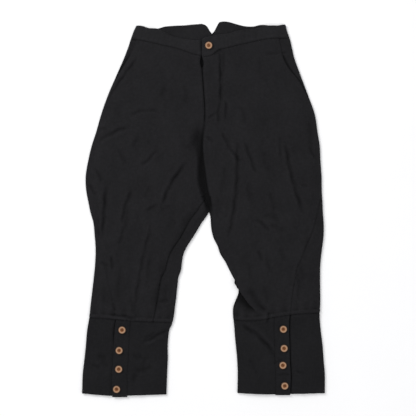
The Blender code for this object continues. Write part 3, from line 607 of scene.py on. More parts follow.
@dataclass(frozen=True)
class Skin:
    """One half of the garment as a flattened tube on the floor, in millimetres."""
    half: Half
    roll_across: float = 3.6
    roll_height: float = 6.0
    inner_roll_across: float = 2.6
    inner_roll_widens: float = 70.0      # length below the crotch over which the inner roll gets as wide
    roll_reach: float = 30.0             # length over which the top rises from the outer roll
    lowest_top: float = 2.5
    highest_under: float = 1.5
    leg_blend: tuple[float, float] = (404.0, 464.0)
    outer_clear: float = 12.0            # lengths over which creases set in beside the outer roll,
    inner_clear: float = 9.0             # beside the inner roll,
    ledge_clear: float = 6.0             # and beside the low ledge,
    ledge_overlap: float = 4.0           # where they start this far out on it
    drawn_from: float = 230.0            # where the cloth begins to be drawn into long lines,
    drawn_over: float = 120.0            # and the length over which it does

    @property
    def roll(self) -> float:
        """Length of a quarter of the outer roll."""
        return float(quarter(np.array(self.roll_across), np.array(self.roll_height / 2)))

    def outer(self, down: np.ndarray) -> np.ndarray:
        """Outer edge, outwards from the middle line."""
        return smooth(WIDTHS, "down", self.half.value, down)

    def inner_front(self, down: np.ndarray) -> np.ndarray:
        """Inner edge of the top layer: the centre front, then the inner leg."""
        centre = self.half.sign * smooth(CENTRES, "down", "front", down) + smooth(CENTRES, "down", "slit", down)
        return np.where(down < CROTCH, centre, smooth(INNER_LEGS, "down", self.half.value, down))

    def inner_back(self, down: np.ndarray) -> np.ndarray:
        """Inner edge of the under layer: the centre back, then the inner leg."""
        centre = self.half.sign * smooth(CENTRES, "down", "back", down) - SEAM
        return np.where(down < CROTCH, centre, smooth(INNER_LEGS, "down", self.half.value, down))

    def inner_roll(self, down: np.ndarray) -> tuple[np.ndarray, np.ndarray, np.ndarray]:
        """The inner roll, which starts below the crotch.

        Args:
            down: Places down.

        Returns:
            Its half width, half height and quarter length.
        """
        leg = (down > CROTCH).astype(float)
        widening = (self.roll_across - self.inner_roll_across) * ease((down - CROTCH) / self.inner_roll_widens)
        half_width = leg * (self.inner_roll_across + widening)
        half_height = smooth(LOFTS, "down", "inner", down) / 2
        return half_width, half_height, leg * quarter(half_width, half_height)

    def over(self, down: np.ndarray) -> np.ndarray:
        """Length of the skin over the top, to the middle of the inner roll or to the centre front."""
        half_width, _, roll = self.inner_roll(down)
        return self.roll + self.outer(down) - self.inner_front(down) - self.roll_across - half_width + roll

    def at_across(self, across: np.ndarray | float, down: np.ndarray) -> np.ndarray:
        """How far around the top a place across lies."""
        return self.roll + self.outer(down) - self.half.sign * across - self.roll_across

    def top_height(self, inwards: np.ndarray, down: np.ndarray) -> np.ndarray:
        """Height of the top layer.

        The loft falls smoothly to the outer roll and to a low ledge along the inner line.  Creases and
        a gentle unevenness are added clear of the rolls, and nothing sinks into the back.

        Args:
            inwards: Distance inwards from the outer edge.
            down: Places down.

        Returns:
            Heights in millimetres.
        """
        half_width, _, _ = self.inner_roll(down)
        top = smooth(LOFTS, "down", "top", down)
        dip = smooth(LOFTS, "down", "inner", down)
        ledge = np.clip(smooth(GROOVES, "down", f"{self.half.value}_ledge", down), 0, None)
        reach = smooth(GROOVES, "down", f"{self.half.value}_reach", down)
        from_inner = self.outer(down) - self.inner_front(down) - half_width - inwards
        outer_rise = ease((inwards - self.roll_across) / self.roll_reach)
        inner_rise = ease((from_inner - ledge) / reach)
        base = top - (top - self.roll_height) * (1 - outer_rise) - (top - dip) * (1 - inner_rise)
        leg = ease((down - self.leg_blend[0]) / (self.leg_blend[1] - self.leg_blend[0]))
        clear = ease((inwards - self.roll_across) / self.outer_clear)
        clear = clear * (1 - leg * (1 - ease(from_inner / self.inner_clear)))
        clear = clear * ease((from_inner - ledge + self.ledge_overlap) / self.ledge_clear)
        across = self.half.sign * (self.outer(down) - inwards)
        relief = CREASE_SHAPE.relief(TOP_CREASES, across, down)
        for ripple in RIPPLES:
            relief = relief + ripple.height * undulation(across, down, ripple.wavelength, ripple.seed)
        drawn = DRAWN.height * ease((down - self.drawn_from) / self.drawn_over)
        leaning = across + DRAWN_LEAN * down
        relief = relief + drawn * undulation(leaning, DRAWN_STRETCH * down, DRAWN.wavelength, DRAWN.seed)
        return np.maximum(base + clear * relief, self.lowest_top)

    def wedge(self, around: np.ndarray, down: np.ndarray) -> np.ndarray:
        """How much shade is painted on places on top in the wedge between the legs.

        Args:
            around: Distances around.
            down: Places down.

        Returns:
            Shares of painted shade from 0 to 1, less where less shade is painted in the wedge.
        """
        from_inner = self.over(down) - self.inner_roll(down)[2] - around
        ledge = smooth(GROOVES, "down", f"{self.half.value}_ledge", down)
        reach = smooth(GROOVES, "down", f"{self.half.value}_reach", down)
        return (1 - ease((from_inner - ledge) / reach)) * smooth(GROOVES, "down", "dark", down)

    def under_height(self, across: np.ndarray, down: np.ndarray) -> np.ndarray:
        """Height of the under layer's lower face: flat on the floor, lifted a little along its creases."""
        return np.clip(CREASE_SHAPE.relief(UNDER_CREASES, across, down), 0.0, self.highest_under)

    def unrolled(self, around: np.ndarray, down: np.ndarray) -> tuple[np.ndarray, np.ndarray]:
        """Where places lie once both rolls are opened.

        Args:
            around: Distances around.
            down: Places down.

        Returns:
            Whether they lie on top, also past the inner roll, and their distances from the outer roll.
        """
        whole = self.over(down)
        beyond = np.clip(-around - whole, 0, None) * (down > CROTCH)
        on_top = (around >= 0) | (beyond > 0)
        return on_top, np.where(around >= 0, around, np.where(beyond > 0, whole - beyond, -around))

    def place(self, around: np.ndarray, down: np.ndarray) -> np.ndarray:
        """Points of the skin.

        A place around becomes a distance inwards from the outer edge, on top or underneath.  Within a
        quarter roll of either edge it turns over half an ellipse instead.

        Args:
            around: Distances around.
            down: Places down.

        Returns:
            Points in millimetres, in the frame's directions.
        """
        inner_width, inner_height, inner_roll = self.inner_roll(down)
        whole = self.over(down)
        on_top, along = self.unrolled(around, down)
        width = self.outer(down) - np.where(on_top, self.inner_front(down), self.inner_back(down))
        inwards = self.roll_across + along - self.roll
        across = self.half.sign * (self.outer(down) - inwards)
        height = np.where(on_top, self.top_height(inwards, down), self.under_height(across, down))
        turn = np.clip(along / self.roll, 0, 1) * math.pi / 2
        outer_half = self.roll_height / 2
        rolled = along < self.roll
        height = np.where(rolled, outer_half + np.where(on_top, 1, -1) * outer_half * np.sin(turn), height)
        inwards = np.where(rolled, self.roll_across * (1 - np.cos(turn)), inwards)
        left_over = whole - along
        turn = np.clip(left_over / np.maximum(inner_roll, 1e-6), 0, 1) * math.pi / 2
        rolled = (left_over < inner_roll) & (down > CROTCH)
        height = np.where(rolled, inner_height * (1 + np.where(on_top, 1, -1) * np.sin(turn)), height)
        inwards = np.where(rolled, width - inner_width * (1 - np.cos(turn)), inwards)
        across = self.half.sign * (self.outer(down) - inwards)
        return np.stack([across, LENGTH / 2 - down, height], axis=-1)


class Finish(Enum):
    """How one edge of a panel is finished."""
    SEAM = "seam"
    FOLDED = "folded"
    GATHERED = "gathered"
    PRESSED = "pressed"
    HIDDEN = "hidden"


class Relief(NamedTuple):
    """How high each form of an edge's finish stands, in millimetres."""
    furrow: float = 0.0      # sinks at the edge
    swell: float = 0.0       # rises over the turnings beside it
    fold: float = 0.0        # stands off, and is rounded at the edge
    welt: float = 0.0        # a raised, uneven band along the edge
    channel: float = 0.0     # a stitched line sunk above the welt
    gathers: float = 0.0     # short folds that die out from the edge
    pucker: float = 0.0      # ripples along the stitching


RELIEFS = {
    Finish.SEAM: Relief(furrow=1.3, swell=0.35, pucker=0.2),
    Finish.PRESSED: Relief(furrow=0.4, swell=0.1, pucker=0.1),
    Finish.FOLDED: Relief(fold=0.6, pucker=0.14),
    Finish.GATHERED: Relief(furrow=1.2, welt=1.05, channel=0.55, gathers=1.1, pucker=0.25),
    Finish.HIDDEN: Relief(),
}


@dataclass(frozen=True)
class EdgeShape:
    """Where the forms beside an edge lie: distances from it, and widths or lengths of the rise."""
    furrow_width: float = 2.4
    swell: tuple[float, float] = (6.0, 3.0)
    pucker: tuple[float, float] = (4.0, 6.0)
    fold_reach: float = 9.0
    fold_rounding: float = 1.3
    welt_start: tuple[float, float] = (0.4, 2.2)
    welt_end: tuple[float, float] = (8.0, 3.0)
    welt_uneven: float = 0.35
    channel: tuple[float, float] = (12.0, 2.2)
    gathers_start: tuple[float, float] = (6.0, 6.0)
    gathers_reach: float = 26.0

    def height(self, finish: Finish, distance: np.ndarray, along: np.ndarray) -> np.ndarray:
        """Height that an edge's finish adds.

        Args:
            finish: The edge's finish.
            distance: Distance from the edge.
            along: Distance along the edge.

        Returns:
            Heights in millimetres.
        """
        amount = RELIEFS[finish]
        total = amount.swell * bell(distance, *self.swell) - amount.furrow * bell(distance, 0.0, self.furrow_width)
        total = total + amount.fold * np.exp(-distance / self.fold_reach)
        total = total - amount.fold * np.clip(1 - distance / self.fold_rounding, 0, 1) ** 2
        if amount.welt:
            welt = ease((distance - self.welt_start[0]) / self.welt_start[1])
            welt = welt * (1 - ease((distance - self.welt_end[0]) / self.welt_end[1]))
            total = total + amount.welt * (1 + self.welt_uneven * WELT_UNEVEN.at(along)) * welt
            total = total - amount.channel * bell(distance, *self.channel)
            gathers = GATHER.at(along) * bell(distance, 0.0, self.gathers_reach)
            gathers = gathers * ease((distance - self.gathers_start[0]) / self.gathers_start[1])
            total = total + amount.gathers * gathers
        return total + amount.pucker * (PUCKER.at(along) * bell(distance, *self.pucker))


EDGE_SHAPE = EdgeShape()


@dataclass(frozen=True)
class Shading:
    """How much painted shade, and how much wear with painted highlight, the cloth's forms give its material."""
    fold: float = 2.4              # painted shade in an overhang's fold; over 1, so that it is full before the middle
    lap_rise: float = 3.0          # how fast painted shade sets in where the cloth runs in under a lap
    lap_from: float = 2.0          # from this share of the full darkening
    trough: float = 0.42           # painted shade along a crease
    trough_depth: float = 1.6
    deep_trough: float = 0.3       # more where it is very deep
    deep_from: float = 3.3
    furrow: float = 0.3            # painted shade along a seam
    furrow_depth: float = 1.5
    crest_wear: float = 0.25       # rubbed, and lighter as painted highlight, on a ridge
    crest_height: float = 3.0
    edge_wear: float = 0.5         # rubbed, and lighter as painted highlight, on a raised edge

    def painted_shade(self, creases: np.ndarray, relief: np.ndarray) -> np.ndarray:
        """How much shade is painted into the creases and seams.

        Args:
            creases: Heights that the creases add.
            relief: Heights that the edges' finishes add.

        Returns:
            Shares, 0 where the cloth is even.
        """
        shade_amount = self.trough * (1 - np.exp(np.minimum(creases, 0) / self.trough_depth))
        shade_amount = shade_amount + self.deep_trough * np.clip(-creases - self.deep_from, 0, 1)
        return shade_amount + self.furrow * np.clip(-relief, 0, self.furrow_depth)

    def wear_and_highlight(self, creases: np.ndarray, relief: np.ndarray) -> np.ndarray:
        """How much is rubbed off and lightened as painted highlight, from 0 to 1: on crests, swollen seams and
        folded edges.
        """
        crests = self.crest_wear * np.clip(creases, 0, self.crest_height)
        return np.clip(crests + self.edge_wear * np.clip(relief, 0, 1), 0, 1)


SHADING = Shading()


def level(down: float) -> Curve:
    """A cross edge that runs straight across."""
    return lambda across: np.full(np.shape(across), float(down))


def cross(table: tuple, shift: float = 0.0) -> Curve:
    """A cross edge of the garment, moved by a shift, as a function of the place across."""
    return lambda across: smooth(table, "across", "down", across) + shift


def steady(value: float) -> Curve:
    """A distance around that is the same at each place down."""
    return lambda down: np.full(np.shape(down), float(value))


def densified(first: float, last: float, step: float) -> np.ndarray:
    """Even places from first to last, with two more close to each end for its rounding.

    Args:
        first: First place.
        last: Last place.
        step: About how far apart they are.

    Returns:
        The places in order.
    """
    inner = np.linspace(first, last, max(int(round(abs(last - first) / step)), 3) + 1)
    toward = math.copysign(1.0, last - first)
    extra = [place for gap in ROUNDING for place in (first + toward * gap, last - toward * gap)]
    return np.unique(np.concatenate([inner, extra]))[:: int(toward)]


class Piece:
    """Adds finished meshes to the scene."""

    @staticmethod
    def add(name: str, vertices: np.ndarray, faces: np.ndarray, look: bpy.types.Material, slot: str,
            uv: np.ndarray | None = None, values: dict[str, np.ndarray] | None = None) -> bpy.types.Object:
        """Make one mesh piece that rides with the garment.

        Args:
            name: The piece's name.
            vertices: Corners in metres.
            faces: Corner numbers, a row for each face of the same number of sides.
            look: Its material.
            slot: Not used.
            uv: Place on the cut cloth for each corner, in metres.
            values: Named values for each corner.

        Returns:
            The new object.
        """
        mesh = bpy.data.meshes.new(name)
        sides = faces.shape[1]
        mesh.vertices.add(len(vertices))
        mesh.vertices.foreach_set("co", np.ascontiguousarray(vertices, dtype=np.float32).ravel())
        mesh.loops.add(faces.size)
        mesh.loops.foreach_set("vertex_index", np.ascontiguousarray(faces, dtype=np.int32).ravel())
        mesh.polygons.add(len(faces))
        mesh.polygons.foreach_set("loop_start", np.arange(0, faces.size, sides, dtype=np.int32))
        mesh.update(calc_edges=True)
        if uv is not None:
            layer = mesh.uv_layers.new(name="cut")
            layer.data.foreach_set("uv", np.ascontiguousarray(uv[faces.ravel()], dtype=np.float32).ravel())
        for key, value in (values or {}).items():
            attribute = mesh.attributes.new(key, "FLOAT", "POINT")
            attribute.data.foreach_set("value", np.ascontiguousarray(value, dtype=np.float32).ravel())
        mesh.shade_smooth()
        mesh.materials.append(look)
        made = bpy.data.objects.new(name, mesh)
        bpy.context.scene.collection.objects.link(made)
        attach(made, "root")
        return made


@dataclass
class Panel:
    """One cut piece of cloth, laid on a half's skin."""
    name: str
    skin: Skin
    start: Curve
    stop: Curve
    top: Curve
    bottom: Curve
    rows: np.ndarray
    cell: float
    wall: float
    finishes: tuple[Finish, Finish, Finish, Finish]
    sink: Sink | None = None             # how deep it lies below the skin
    overhang: Overhang | None = None
    shown: Curve | None = None           # share of the start edge's relief that shows
    inner_face_shade: float = 1.0                  # how much shade is painted on its inner face
    around: np.ndarray = field(init=False)
    down: np.ndarray = field(init=False)
    points: np.ndarray = field(init=False)
    normals: np.ndarray = field(init=False)
    wear_and_highlight: np.ndarray = field(init=False)
    painted_shade: np.ndarray = field(init=False)
    upright_relief: ClassVar[float] = 0.2                # share of the edges' relief kept on the rolls
    samples: ClassVar[int] = 600                         # places at which the columns' density is summed
    crowding: ClassVar[float] = 1.4                      # how much denser they are over the rolls,
    outer_crowd: ClassVar[float] = 1.2                   # and how widely, in quarters of the outer roll
    inner_crowd: ClassVar[float] = 2.6
    extra_columns: ClassVar[int] = 12
    least_columns: ClassVar[int] = 4
    meetings: ClassVar[int] = 6                          # rounds in which a column closes in on an edge
    long_panel: ClassVar[float] = 300.0                  # a longer panel bends its rows only near its ends,
    end_blends: ClassVar[tuple[float, float]] = (0.4, 0.25)    # over these shares at top and bottom
    line_places: ClassVar[int] = 90                      # places along a free stitching line
    line_end: ClassVar[float] = 0.8                      # how far an outer line ends lower, as a share

    def __post_init__(self) -> None:
        """Lay the cloth out as soon as the panel is described."""
        self.around, self.down = self.lay()
        self.points = self.skin.place(self.around, self.down)
        # painted shade in the overhang's fold
        self.painted_shade = SHADING.fold * self.hang_over()
        self.normals = self.facing()
        if self.sink is not None:
            sunk = self.sink(self.points[..., 0], self.around, self.down)
            self.points = self.points - self.normals * sunk[..., None]
            # painted shade where the cloth runs in under a lap
            self.painted_shade = self.painted_shade + np.clip(SHADING.lap_rise * sunk / LAP_SINK - SHADING.lap_from, 0, 1)
        upright = self.upright_relief + (1 - self.upright_relief) * np.abs(self.normals[..., 2])
        relief = self.edge_heights() * upright
        self.points = self.points + self.normals * relief[..., None]
        self.points[..., 2] = np.maximum(self.points[..., 2], 0.0)
        self.normals = self.facing()
        self.wear_and_highlight, self.painted_shade = self.tones(relief)

    @property
    def turned(self) -> float:
        """Which way round the grid runs on the skin, 1 or -1."""
        return self.skin.half.sign * math.copysign(1.0, float(self.around[0, -1] - self.around[0, 0]))

    def shares(self, down: float) -> np.ndarray:
        """Shares of the way from start to stop for the columns, closer together where the skin rolls.

        Args:
            down: Place down of the row.

        Returns:
            Shares from 0 to 1 in order, with two more close to each end for its rounding.
        """
        middle = np.array(float(self.rows.mean()))
        first = float(self.start(np.array(down)))
        last = float(self.stop(np.array(down)))
        whole = float(self.skin.over(np.array(down)))
        count = max(int(abs(float(self.stop(middle) - self.start(middle))) / self.cell), self.least_columns)
        fine = np.linspace(first, last, self.samples)
        density = np.ones_like(fine)
        for place, spread in ((0.0, self.outer_crowd), (whole, self.inner_crowd), (-whole, self.outer_crowd)):
            density += self.crowding * bell(fine, place, spread * self.skin.roll)
        filled = np.concatenate([[0.0], np.cumsum(0.5 * (density[1:] + density[:-1]))])
        even = np.linspace(0, filled[-1], count + self.extra_columns)
        even = np.interp(even, filled, np.linspace(0, 1, fine.size))
        close = np.array(ROUNDING) / abs(last - first)
        return np.sort(np.concatenate([even, close, 1 - close]))

    def meet(self, edge: Curve, down: float, shares: np.ndarray) -> np.ndarray:
        """Places down where each column meets a cross edge, found by closing in on it.

        Args:
            edge: The cross edge, a place down for each place across.
            down: Place down to begin from.
            shares: The columns' shares of the way from start to stop.

        Returns:
            A place down for each column.
        """
        downs = np.full(shares.shape, float(down))
        for _ in range(self.meetings):
            around = self.start(downs) + shares * (self.stop(downs) - self.start(downs))
            downs = edge(self.skin.place(around, downs)[..., 0])
        return downs

    def lay(self) -> tuple[np.ndarray, np.ndarray]:
        """The panel's grid of places, its edges on its four curves.

        Returns:
            Arrays of distance around and place down, a row for each place down.
        """
        shares = np.array([self.shares(down) for down in self.rows])
        first, last = self.rows[0], self.rows[-1]
        top = self.meet(self.top, first, shares[0])
        bottom = self.meet(self.bottom, last, shares[-1])
        v = ((self.rows - first) / (last - first))[:, None]
        near_top, near_bottom = 1 - v, v
        if last - first > self.long_panel:
            near_top = np.clip(1 - v / self.end_blends[0], 0, 1) ** 2
            near_bottom = np.clip(1 - (1 - v) / self.end_blends[1], 0, 1) ** 2
        down = self.rows[:, None] + (top - first) * near_top + (bottom - last) * near_bottom
        start = self.start(down)
        return start + shares * (self.stop(down) - start), down

    def hang_over(self) -> np.ndarray:
        """Let the cloth above an overhang's line fall over the cloth below it.

        Across the line both height and the sideways shift follow a falling S, whose middle folds back,
        so the cloth doubles under itself.  The S is wider towards the line's start.

        Returns:
            How deep in the fold each place lies, from 0 to 1.
        """
        if self.overhang is None:
            return np.zeros(self.down.shape)
        fold = self.overhang
        start = np.array(fold.start, dtype=float)
        run = np.array(fold.end, dtype=float) - start
        length = np.hypot(*run)
        run = run / length
        x = self.points[..., 0] - start[0]
        y = self.down - start[1]
        t = np.clip((x * run[0] + y * run[1]) / length, 0, 1)
        off = y * run[0] - x * run[1]
        past = (x * run[0] + y * run[1]) - t * length
        on_top, around = self.skin.unrolled(self.around, self.down)
        on_top = on_top & (around > self.skin.roll)
        edge = ease((self.skin.over(self.down) - around) / fold.clear)
        fade = ease(t / fold.sets_in + 0.5) * ease((1 - t) / fold.dies_out) * bell(past, 0.0, fold.past)
        fade = fade * on_top * edge
        width = fold.width * (fold.taper - t)
        fall = -np.tanh(off / width) * bell(off, 0.0, fold.tail * width) * fade
        self.points[..., 0] += -run[1] * fold.reach * fall
        self.points[..., 1] -= run[0] * fold.reach * fall
        change = np.where(fall > 0, fold.rise, fold.pit) * fall
        height = self.points[..., 2]
        self.points[..., 2] = np.maximum(height + change, np.minimum(height, fold.lowest))
        return np.clip(-fall, 0, 1)

    def facing(self) -> np.ndarray:
        """Unit normals of the grid that leave the skin."""
        normals = self.turned * np.cross(np.gradient(self.points, axis=1), np.gradient(self.points, axis=0))
        return normals / np.maximum(np.linalg.norm(normals, axis=-1, keepdims=True), 1e-9)

    def distances(self) -> tuple[np.ndarray, np.ndarray, np.ndarray, np.ndarray]:
        """How far places lie from the panel's edges.

        Returns:
            Distances from the start, the stop, the top and the bottom.
        """
        from_start = np.abs(self.around - self.around[:, :1])
        from_stop = np.abs(self.around - self.around[:, -1:])
        return from_start, from_stop, self.down - self.down[:1], self.down[-1:] - self.down

    def edge_heights(self) -> np.ndarray:
        """Relief of all four edges together.

        Returns:
            Heights in millimetres; of the start edge's only the share that shows.
        """
        alongs = (self.down, self.down, self.around, self.around)
        total = np.zeros(self.down.shape)
        for edge, (finish, distance, along) in enumerate(zip(self.finishes, self.distances(), alongs)):
            share = self.shown(self.down) if self.shown is not None and edge == 0 else 1.0
            total += EDGE_SHAPE.height(finish, distance, along) * share
        return total

    def tones(self, relief: np.ndarray) -> tuple[np.ndarray, np.ndarray]:
        """Where the material is rubbed and lightened as painted highlight, and where painted shade darkens it.

        Args:
            relief: Heights that the edges' finishes add.

        Returns:
            Wear with painted highlight, and painted shade, each from 0 to 1.
        """
        on_top, around = self.skin.unrolled(self.around, self.down)
        creases = CREASE_SHAPE.relief(TOP_CREASES, self.points[..., 0], self.down) * on_top
        # painted shade in creases, seams and the wedge between the legs
        shade_amount = SHADING.painted_shade(creases, relief) + self.skin.wedge(around, self.down) * on_top
        return SHADING.wear_and_highlight(creases, relief), np.clip(self.painted_shade + shade_amount, 0, 1)

    def sample(self, row: np.ndarray, place: np.ndarray) -> tuple[np.ndarray, np.ndarray]:
        """The outer face between the grid's corners.

        Args:
            row: Fractional row numbers.
            place: Fractional column numbers.

        Returns:
            Points and normals there.
        """
        row = np.clip(row, 0, self.down.shape[0] - 1.001)
        place = np.clip(place, 0, self.down.shape[1] - 1.001)
        i, j = row.astype(int), place.astype(int)
        u, v = (row - i)[:, None], (place - j)[:, None]
        picked = []
        for grid in (self.points, self.normals):
            upper = grid[i, j] * (1 - v) + grid[i, j + 1] * v
            lower = grid[i + 1, j] * (1 - v) + grid[i + 1, j + 1] * v
            picked.append(upper * (1 - u) + lower * u)
        return picked[0], picked[1]

    def beside(self, edge: str, distance: float, low: float = 0.0, high: float = 1.0) -> tuple:
        """A stitching line at a steady distance from one edge.

        Args:
            edge: start, stop, top or bottom.
            distance: Millimetres from that edge.
            low: Share of the edge where the line begins.
            high: Share where it ends.

        Returns:
            Points and normals along the line.
        """
        which = ("start", "stop", "top", "bottom").index(edge)
        apart = self.distances()[which]
        if edge in ("top", "bottom"):
            apart = apart.T
        numbers = np.arange(apart.shape[1])
        rising = edge in ("start", "top")
        found = [np.interp(distance, line if rising else line[::-1], numbers if rising else numbers[::-1])
                 for line in apart]
        kept = slice(int(low * (len(found) - 1)), int(high * (len(found) - 1)) + 1)
        found = np.array(found)[kept]
        steps = np.arange(apart.shape[0])[kept].astype(float)
        return self.sample(found, steps) if edge in ("top", "bottom") else self.sample(steps, found)

    def along(self, path: tuple, shift: float = 0.0) -> tuple:
        """A stitching line through places in plan, moved outwards across by a shift.

        Args:
            path: Rows of Edge.
            shift: Millimetres across.

        Returns:
            Points and normals along the line.
        """
        downs = np.linspace(path[0].down, path[-1].down + shift * self.line_end, self.line_places)
        acrosses = smooth(path, "down", "across", downs) + shift * self.skin.half.sign
        places = []
        for across, down in zip(acrosses, downs):
            around = float(self.skin.at_across(across, np.array(down)))
            nearest = np.argmin((self.around - around) ** 2 + (self.down - down) ** 2)
            i, j = np.unravel_index(nearest, self.down.shape)
            places.append((np.interp(down, self.down[:, j], np.arange(self.down.shape[0])),
                           np.interp(around, self.around[i], np.arange(self.down.shape[1]))))
        rows, columns = np.array(places).T
        return self.sample(rows, columns)

    def build(self, look: bpy.types.Material) -> bpy.types.Object:
        """Close the cloth: the outer face, an inner one a wall's thickness in, and a rim joining them.

        Args:
            look: The cloth's material.

        Returns:
            The piece, standing for the solid of the same name.
        """
        inner = self.points - self.normals * self.wall
        inner[..., 2] = np.maximum(inner[..., 2], 0.0)
        count, columns = self.down.shape
        index = np.arange(count * columns).reshape(count, columns)
        outer_faces = np.stack([index[:-1, :-1], index[1:, :-1], index[1:, 1:], index[:-1, 1:]], axis=-1)
        outer_faces = outer_faces.reshape(-1, 4)
        rim = np.concatenate([index[0], index[1:, -1], index[-1, -2::-1], index[-2:0:-1, 0]])
        after = np.roll(rim, -1)
        rim_faces = np.stack([rim, after, after + index.size, rim + index.size], axis=-1)
        faces = np.concatenate([outer_faces, outer_faces[:, ::-1] + index.size, rim_faces])
        if self.turned > 0:
            faces = faces[:, ::-1]
        vertices = np.concatenate([self.points.reshape(-1, 3), inner.reshape(-1, 3)]) * MM
        cut = np.stack([self.around, self.down], axis=-1).reshape(-1, 2) * MM
        wear_and_highlight = np.concatenate([self.wear_and_highlight.ravel(), np.zeros(index.size)])
        # inner faces get the panel's painted shade
        painted_shade = np.concatenate([self.painted_shade.ravel(), np.full(index.size, self.inner_face_shade)])
        piece = Piece.add(f"cloth_{self.name}", vertices, faces, look, "black_cotton",
                          np.concatenate([cut, cut]), {"wear_and_highlight": wear_and_highlight, "painted_shade": painted_shade})
        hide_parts(self.name)
        log.info("%s: %d faces", piece.name, len(faces))
        return piece


@dataclass
class Stitching:
    """Rows of thread on one panel, joined as one mesh."""
    length: float = 2.5
    gap: float = 0.9
    width: float = 0.55
    height: float = 0.32
    belly: float = 0.3           # half of the full part, as a share of the length
    tip_sink: float = 0.1
    sides: int = 5
    points: list = field(default_factory=list)
    faces: list = field(default_factory=list)

    def grain(self) -> tuple[np.ndarray, np.ndarray]:
        """One stitch, a small grain: two rings of corners and a tip at either end.

        Returns:
            Its corners, as lengths ahead, aside and up, and its triangles.
        """
        turns = 2 * math.pi * np.arange(self.sides) / self.sides
        ring = [np.zeros(self.sides), self.width / 2 * np.cos(turns), self.height * np.sin(turns)]
        ring = np.stack(ring, axis=-1)
        full = np.array([self.length * self.belly, 0, 0])
        tips = [[-self.length / 2, 0, -self.tip_sink], [self.length / 2, 0, -self.tip_sink]]
        first = np.arange(self.sides)
        after = (first + 1) % self.sides
        end, other_end = np.full(self.sides, 2 * self.sides), np.full(self.sides, 2 * self.sides + 1)
        triangles = [(first, after, after + self.sides), (first, after + self.sides, first + self.sides),
                     (after, first, end), (first + self.sides, after + self.sides, other_end)]
        triangles = np.concatenate([np.stack(corners, axis=-1) for corners in triangles])
        return np.concatenate([ring - full, ring + full, tips]), triangles[:, ::-1]

    def run(self, line: tuple) -> None:
        """Lay stitches end to end along a line, half sunk in the cloth.

        Args:
            line: Points and normals along it, in millimetres.
        """
        points, normals = line
        gone = np.concatenate([[0.0], np.cumsum(np.linalg.norm(np.diff(points, axis=0), axis=1))])
        pitch = self.length + self.gap
        middles = np.arange(pitch / 2, gone[-1] - pitch / 2, pitch)
        if not len(middles):
            return
        place = np.stack([np.interp(middles, gone, points[:, k]) for k in range(3)], axis=-1)
        ahead = np.stack([np.interp(middles + 1, gone, points[:, k]) for k in range(3)], axis=-1)
        up = np.stack([np.interp(middles, gone, normals[:, k]) for k in range(3)], axis=-1)
        tangent = ahead - place
        tangent /= np.linalg.norm(tangent, axis=1, keepdims=True)
        up -= tangent * np.sum(up * tangent, axis=1, keepdims=True)
        up /= np.linalg.norm(up, axis=1, keepdims=True)
        aside = np.cross(up, tangent)
        shape, triangles = self.grain()
        corners = place[:, None] + shape[None, :, :1] * tangent[:, None]
        corners = corners + shape[None, :, 1:2] * aside[:, None] + shape[None, :, 2:] * up[:, None]
        corners[..., 2] = np.maximum(corners[..., 2], 0.0)
        before = sum(len(block) for block in self.points)
        numbers = (np.arange(len(middles)) * len(shape))[:, None, None] + before
        self.points.append(corners.reshape(-1, 3))
        self.faces.append((triangles[None] + numbers).reshape(-1, 3))

    def build(self, name: str, look: bpy.types.Material) -> bpy.types.Object:
        """Join all the runs into one piece."""
        return Piece.add(name, np.concatenate(self.points) * MM, np.concatenate(self.faces), look, "black_cotton")


class Nodes:
    """Adds and links nodes of one tree."""

    def __init__(self, tree: bpy.types.NodeTree) -> None:
        """Keep the tree that the nodes go to."""
        self.tree = tree

    def add(self, kind: str, inputs: dict | None = None, **settings: object) -> bpy.types.Node:
        """Add a node, set its properties, and set or link its inputs.

        Args:
            kind: The node's type.
            inputs: Input names or numbers, with a value or an output to link.
            settings: Properties of the node.

        Returns:
            The node.
        """
        made = self.tree.nodes.new(kind)
        for key, value in settings.items():
            setattr(made, key, value)
        self.feed(made, inputs or {})
        return made

    def feed(self, node: bpy.types.Node, inputs: dict) -> None:
        """Set or link the inputs of a node.

        Args:
            node: The node.
            inputs: Input names or numbers, with a value or an output to link.
        """
        for key, value in inputs.items():
            if isinstance(value, bpy.types.NodeSocket):
                self.tree.links.new(value, node.inputs[key])
            else:
                node.inputs[key].default_value = value

    def math(self, operation: str, first: object, second: object = 0.0) -> bpy.types.NodeSocket:
        """Result of a math node."""
        return self.add("ShaderNodeMath", {0: first, 1: second}, operation=operation).outputs[0]

    def mix(self, factor: object, first: object, second: object, blend: str = "MIX") -> bpy.types.NodeSocket:
        """Colour mixed from two."""
        made = self.add("ShaderNodeMix", {0: factor, 6: first, 7: second}, data_type="RGBA", blend_type=blend)
        return made.outputs[2]

    def noise(self, place: bpy.types.NodeSocket, scale: float, detail: float) -> bpy.types.NodeSocket:
        """Noise at a place, from 0 to 1."""
        inputs = {"Vector": place, "Scale": scale, "Detail": detail}
        return self.add("ShaderNodeTexNoise", inputs).outputs["Fac"]

    def grey(self, tone: bpy.types.NodeSocket) -> bpy.types.NodeSocket:
        """A grey of one tone."""
        return self.add("ShaderNodeCombineXYZ", {0: tone, 1: tone, 2: tone}).outputs[0]

    def spread(self, value: bpy.types.NodeSocket, low: float, high: float, first: float = 0.0,
               last: float = 1.0) -> bpy.types.NodeSocket:
        """A value from low to high, moved to the range from first to last and kept in it."""
        return self.add("ShaderNodeMapRange", {0: value, 1: low, 2: high, 3: first, 4: last}).outputs[0]


def make_group(name: str, inputs: dict[str, tuple], outputs: dict[str, str]) -> tuple:
    """Start a shader node group with named sockets.

    Args:
        name: The group's name.
        inputs: For each input its socket type and default.
        outputs: For each output its socket type.

    Returns:
        The group, a Nodes for it, and its input and output nodes.
    """
    group = bpy.data.node_groups.new(name, "ShaderNodeTree")
    for key, (kind, default) in inputs.items():
        socket = group.interface.new_socket(key, in_out="INPUT", socket_type=kind)
        if default is not None:
            socket.default_value = default
    for key, kind in outputs.items():
        group.interface.new_socket(key, in_out="OUTPUT", socket_type=kind)
    nodes = Nodes(group)
    return group, nodes, nodes.add("NodeGroupInput"), nodes.add("NodeGroupOutput")


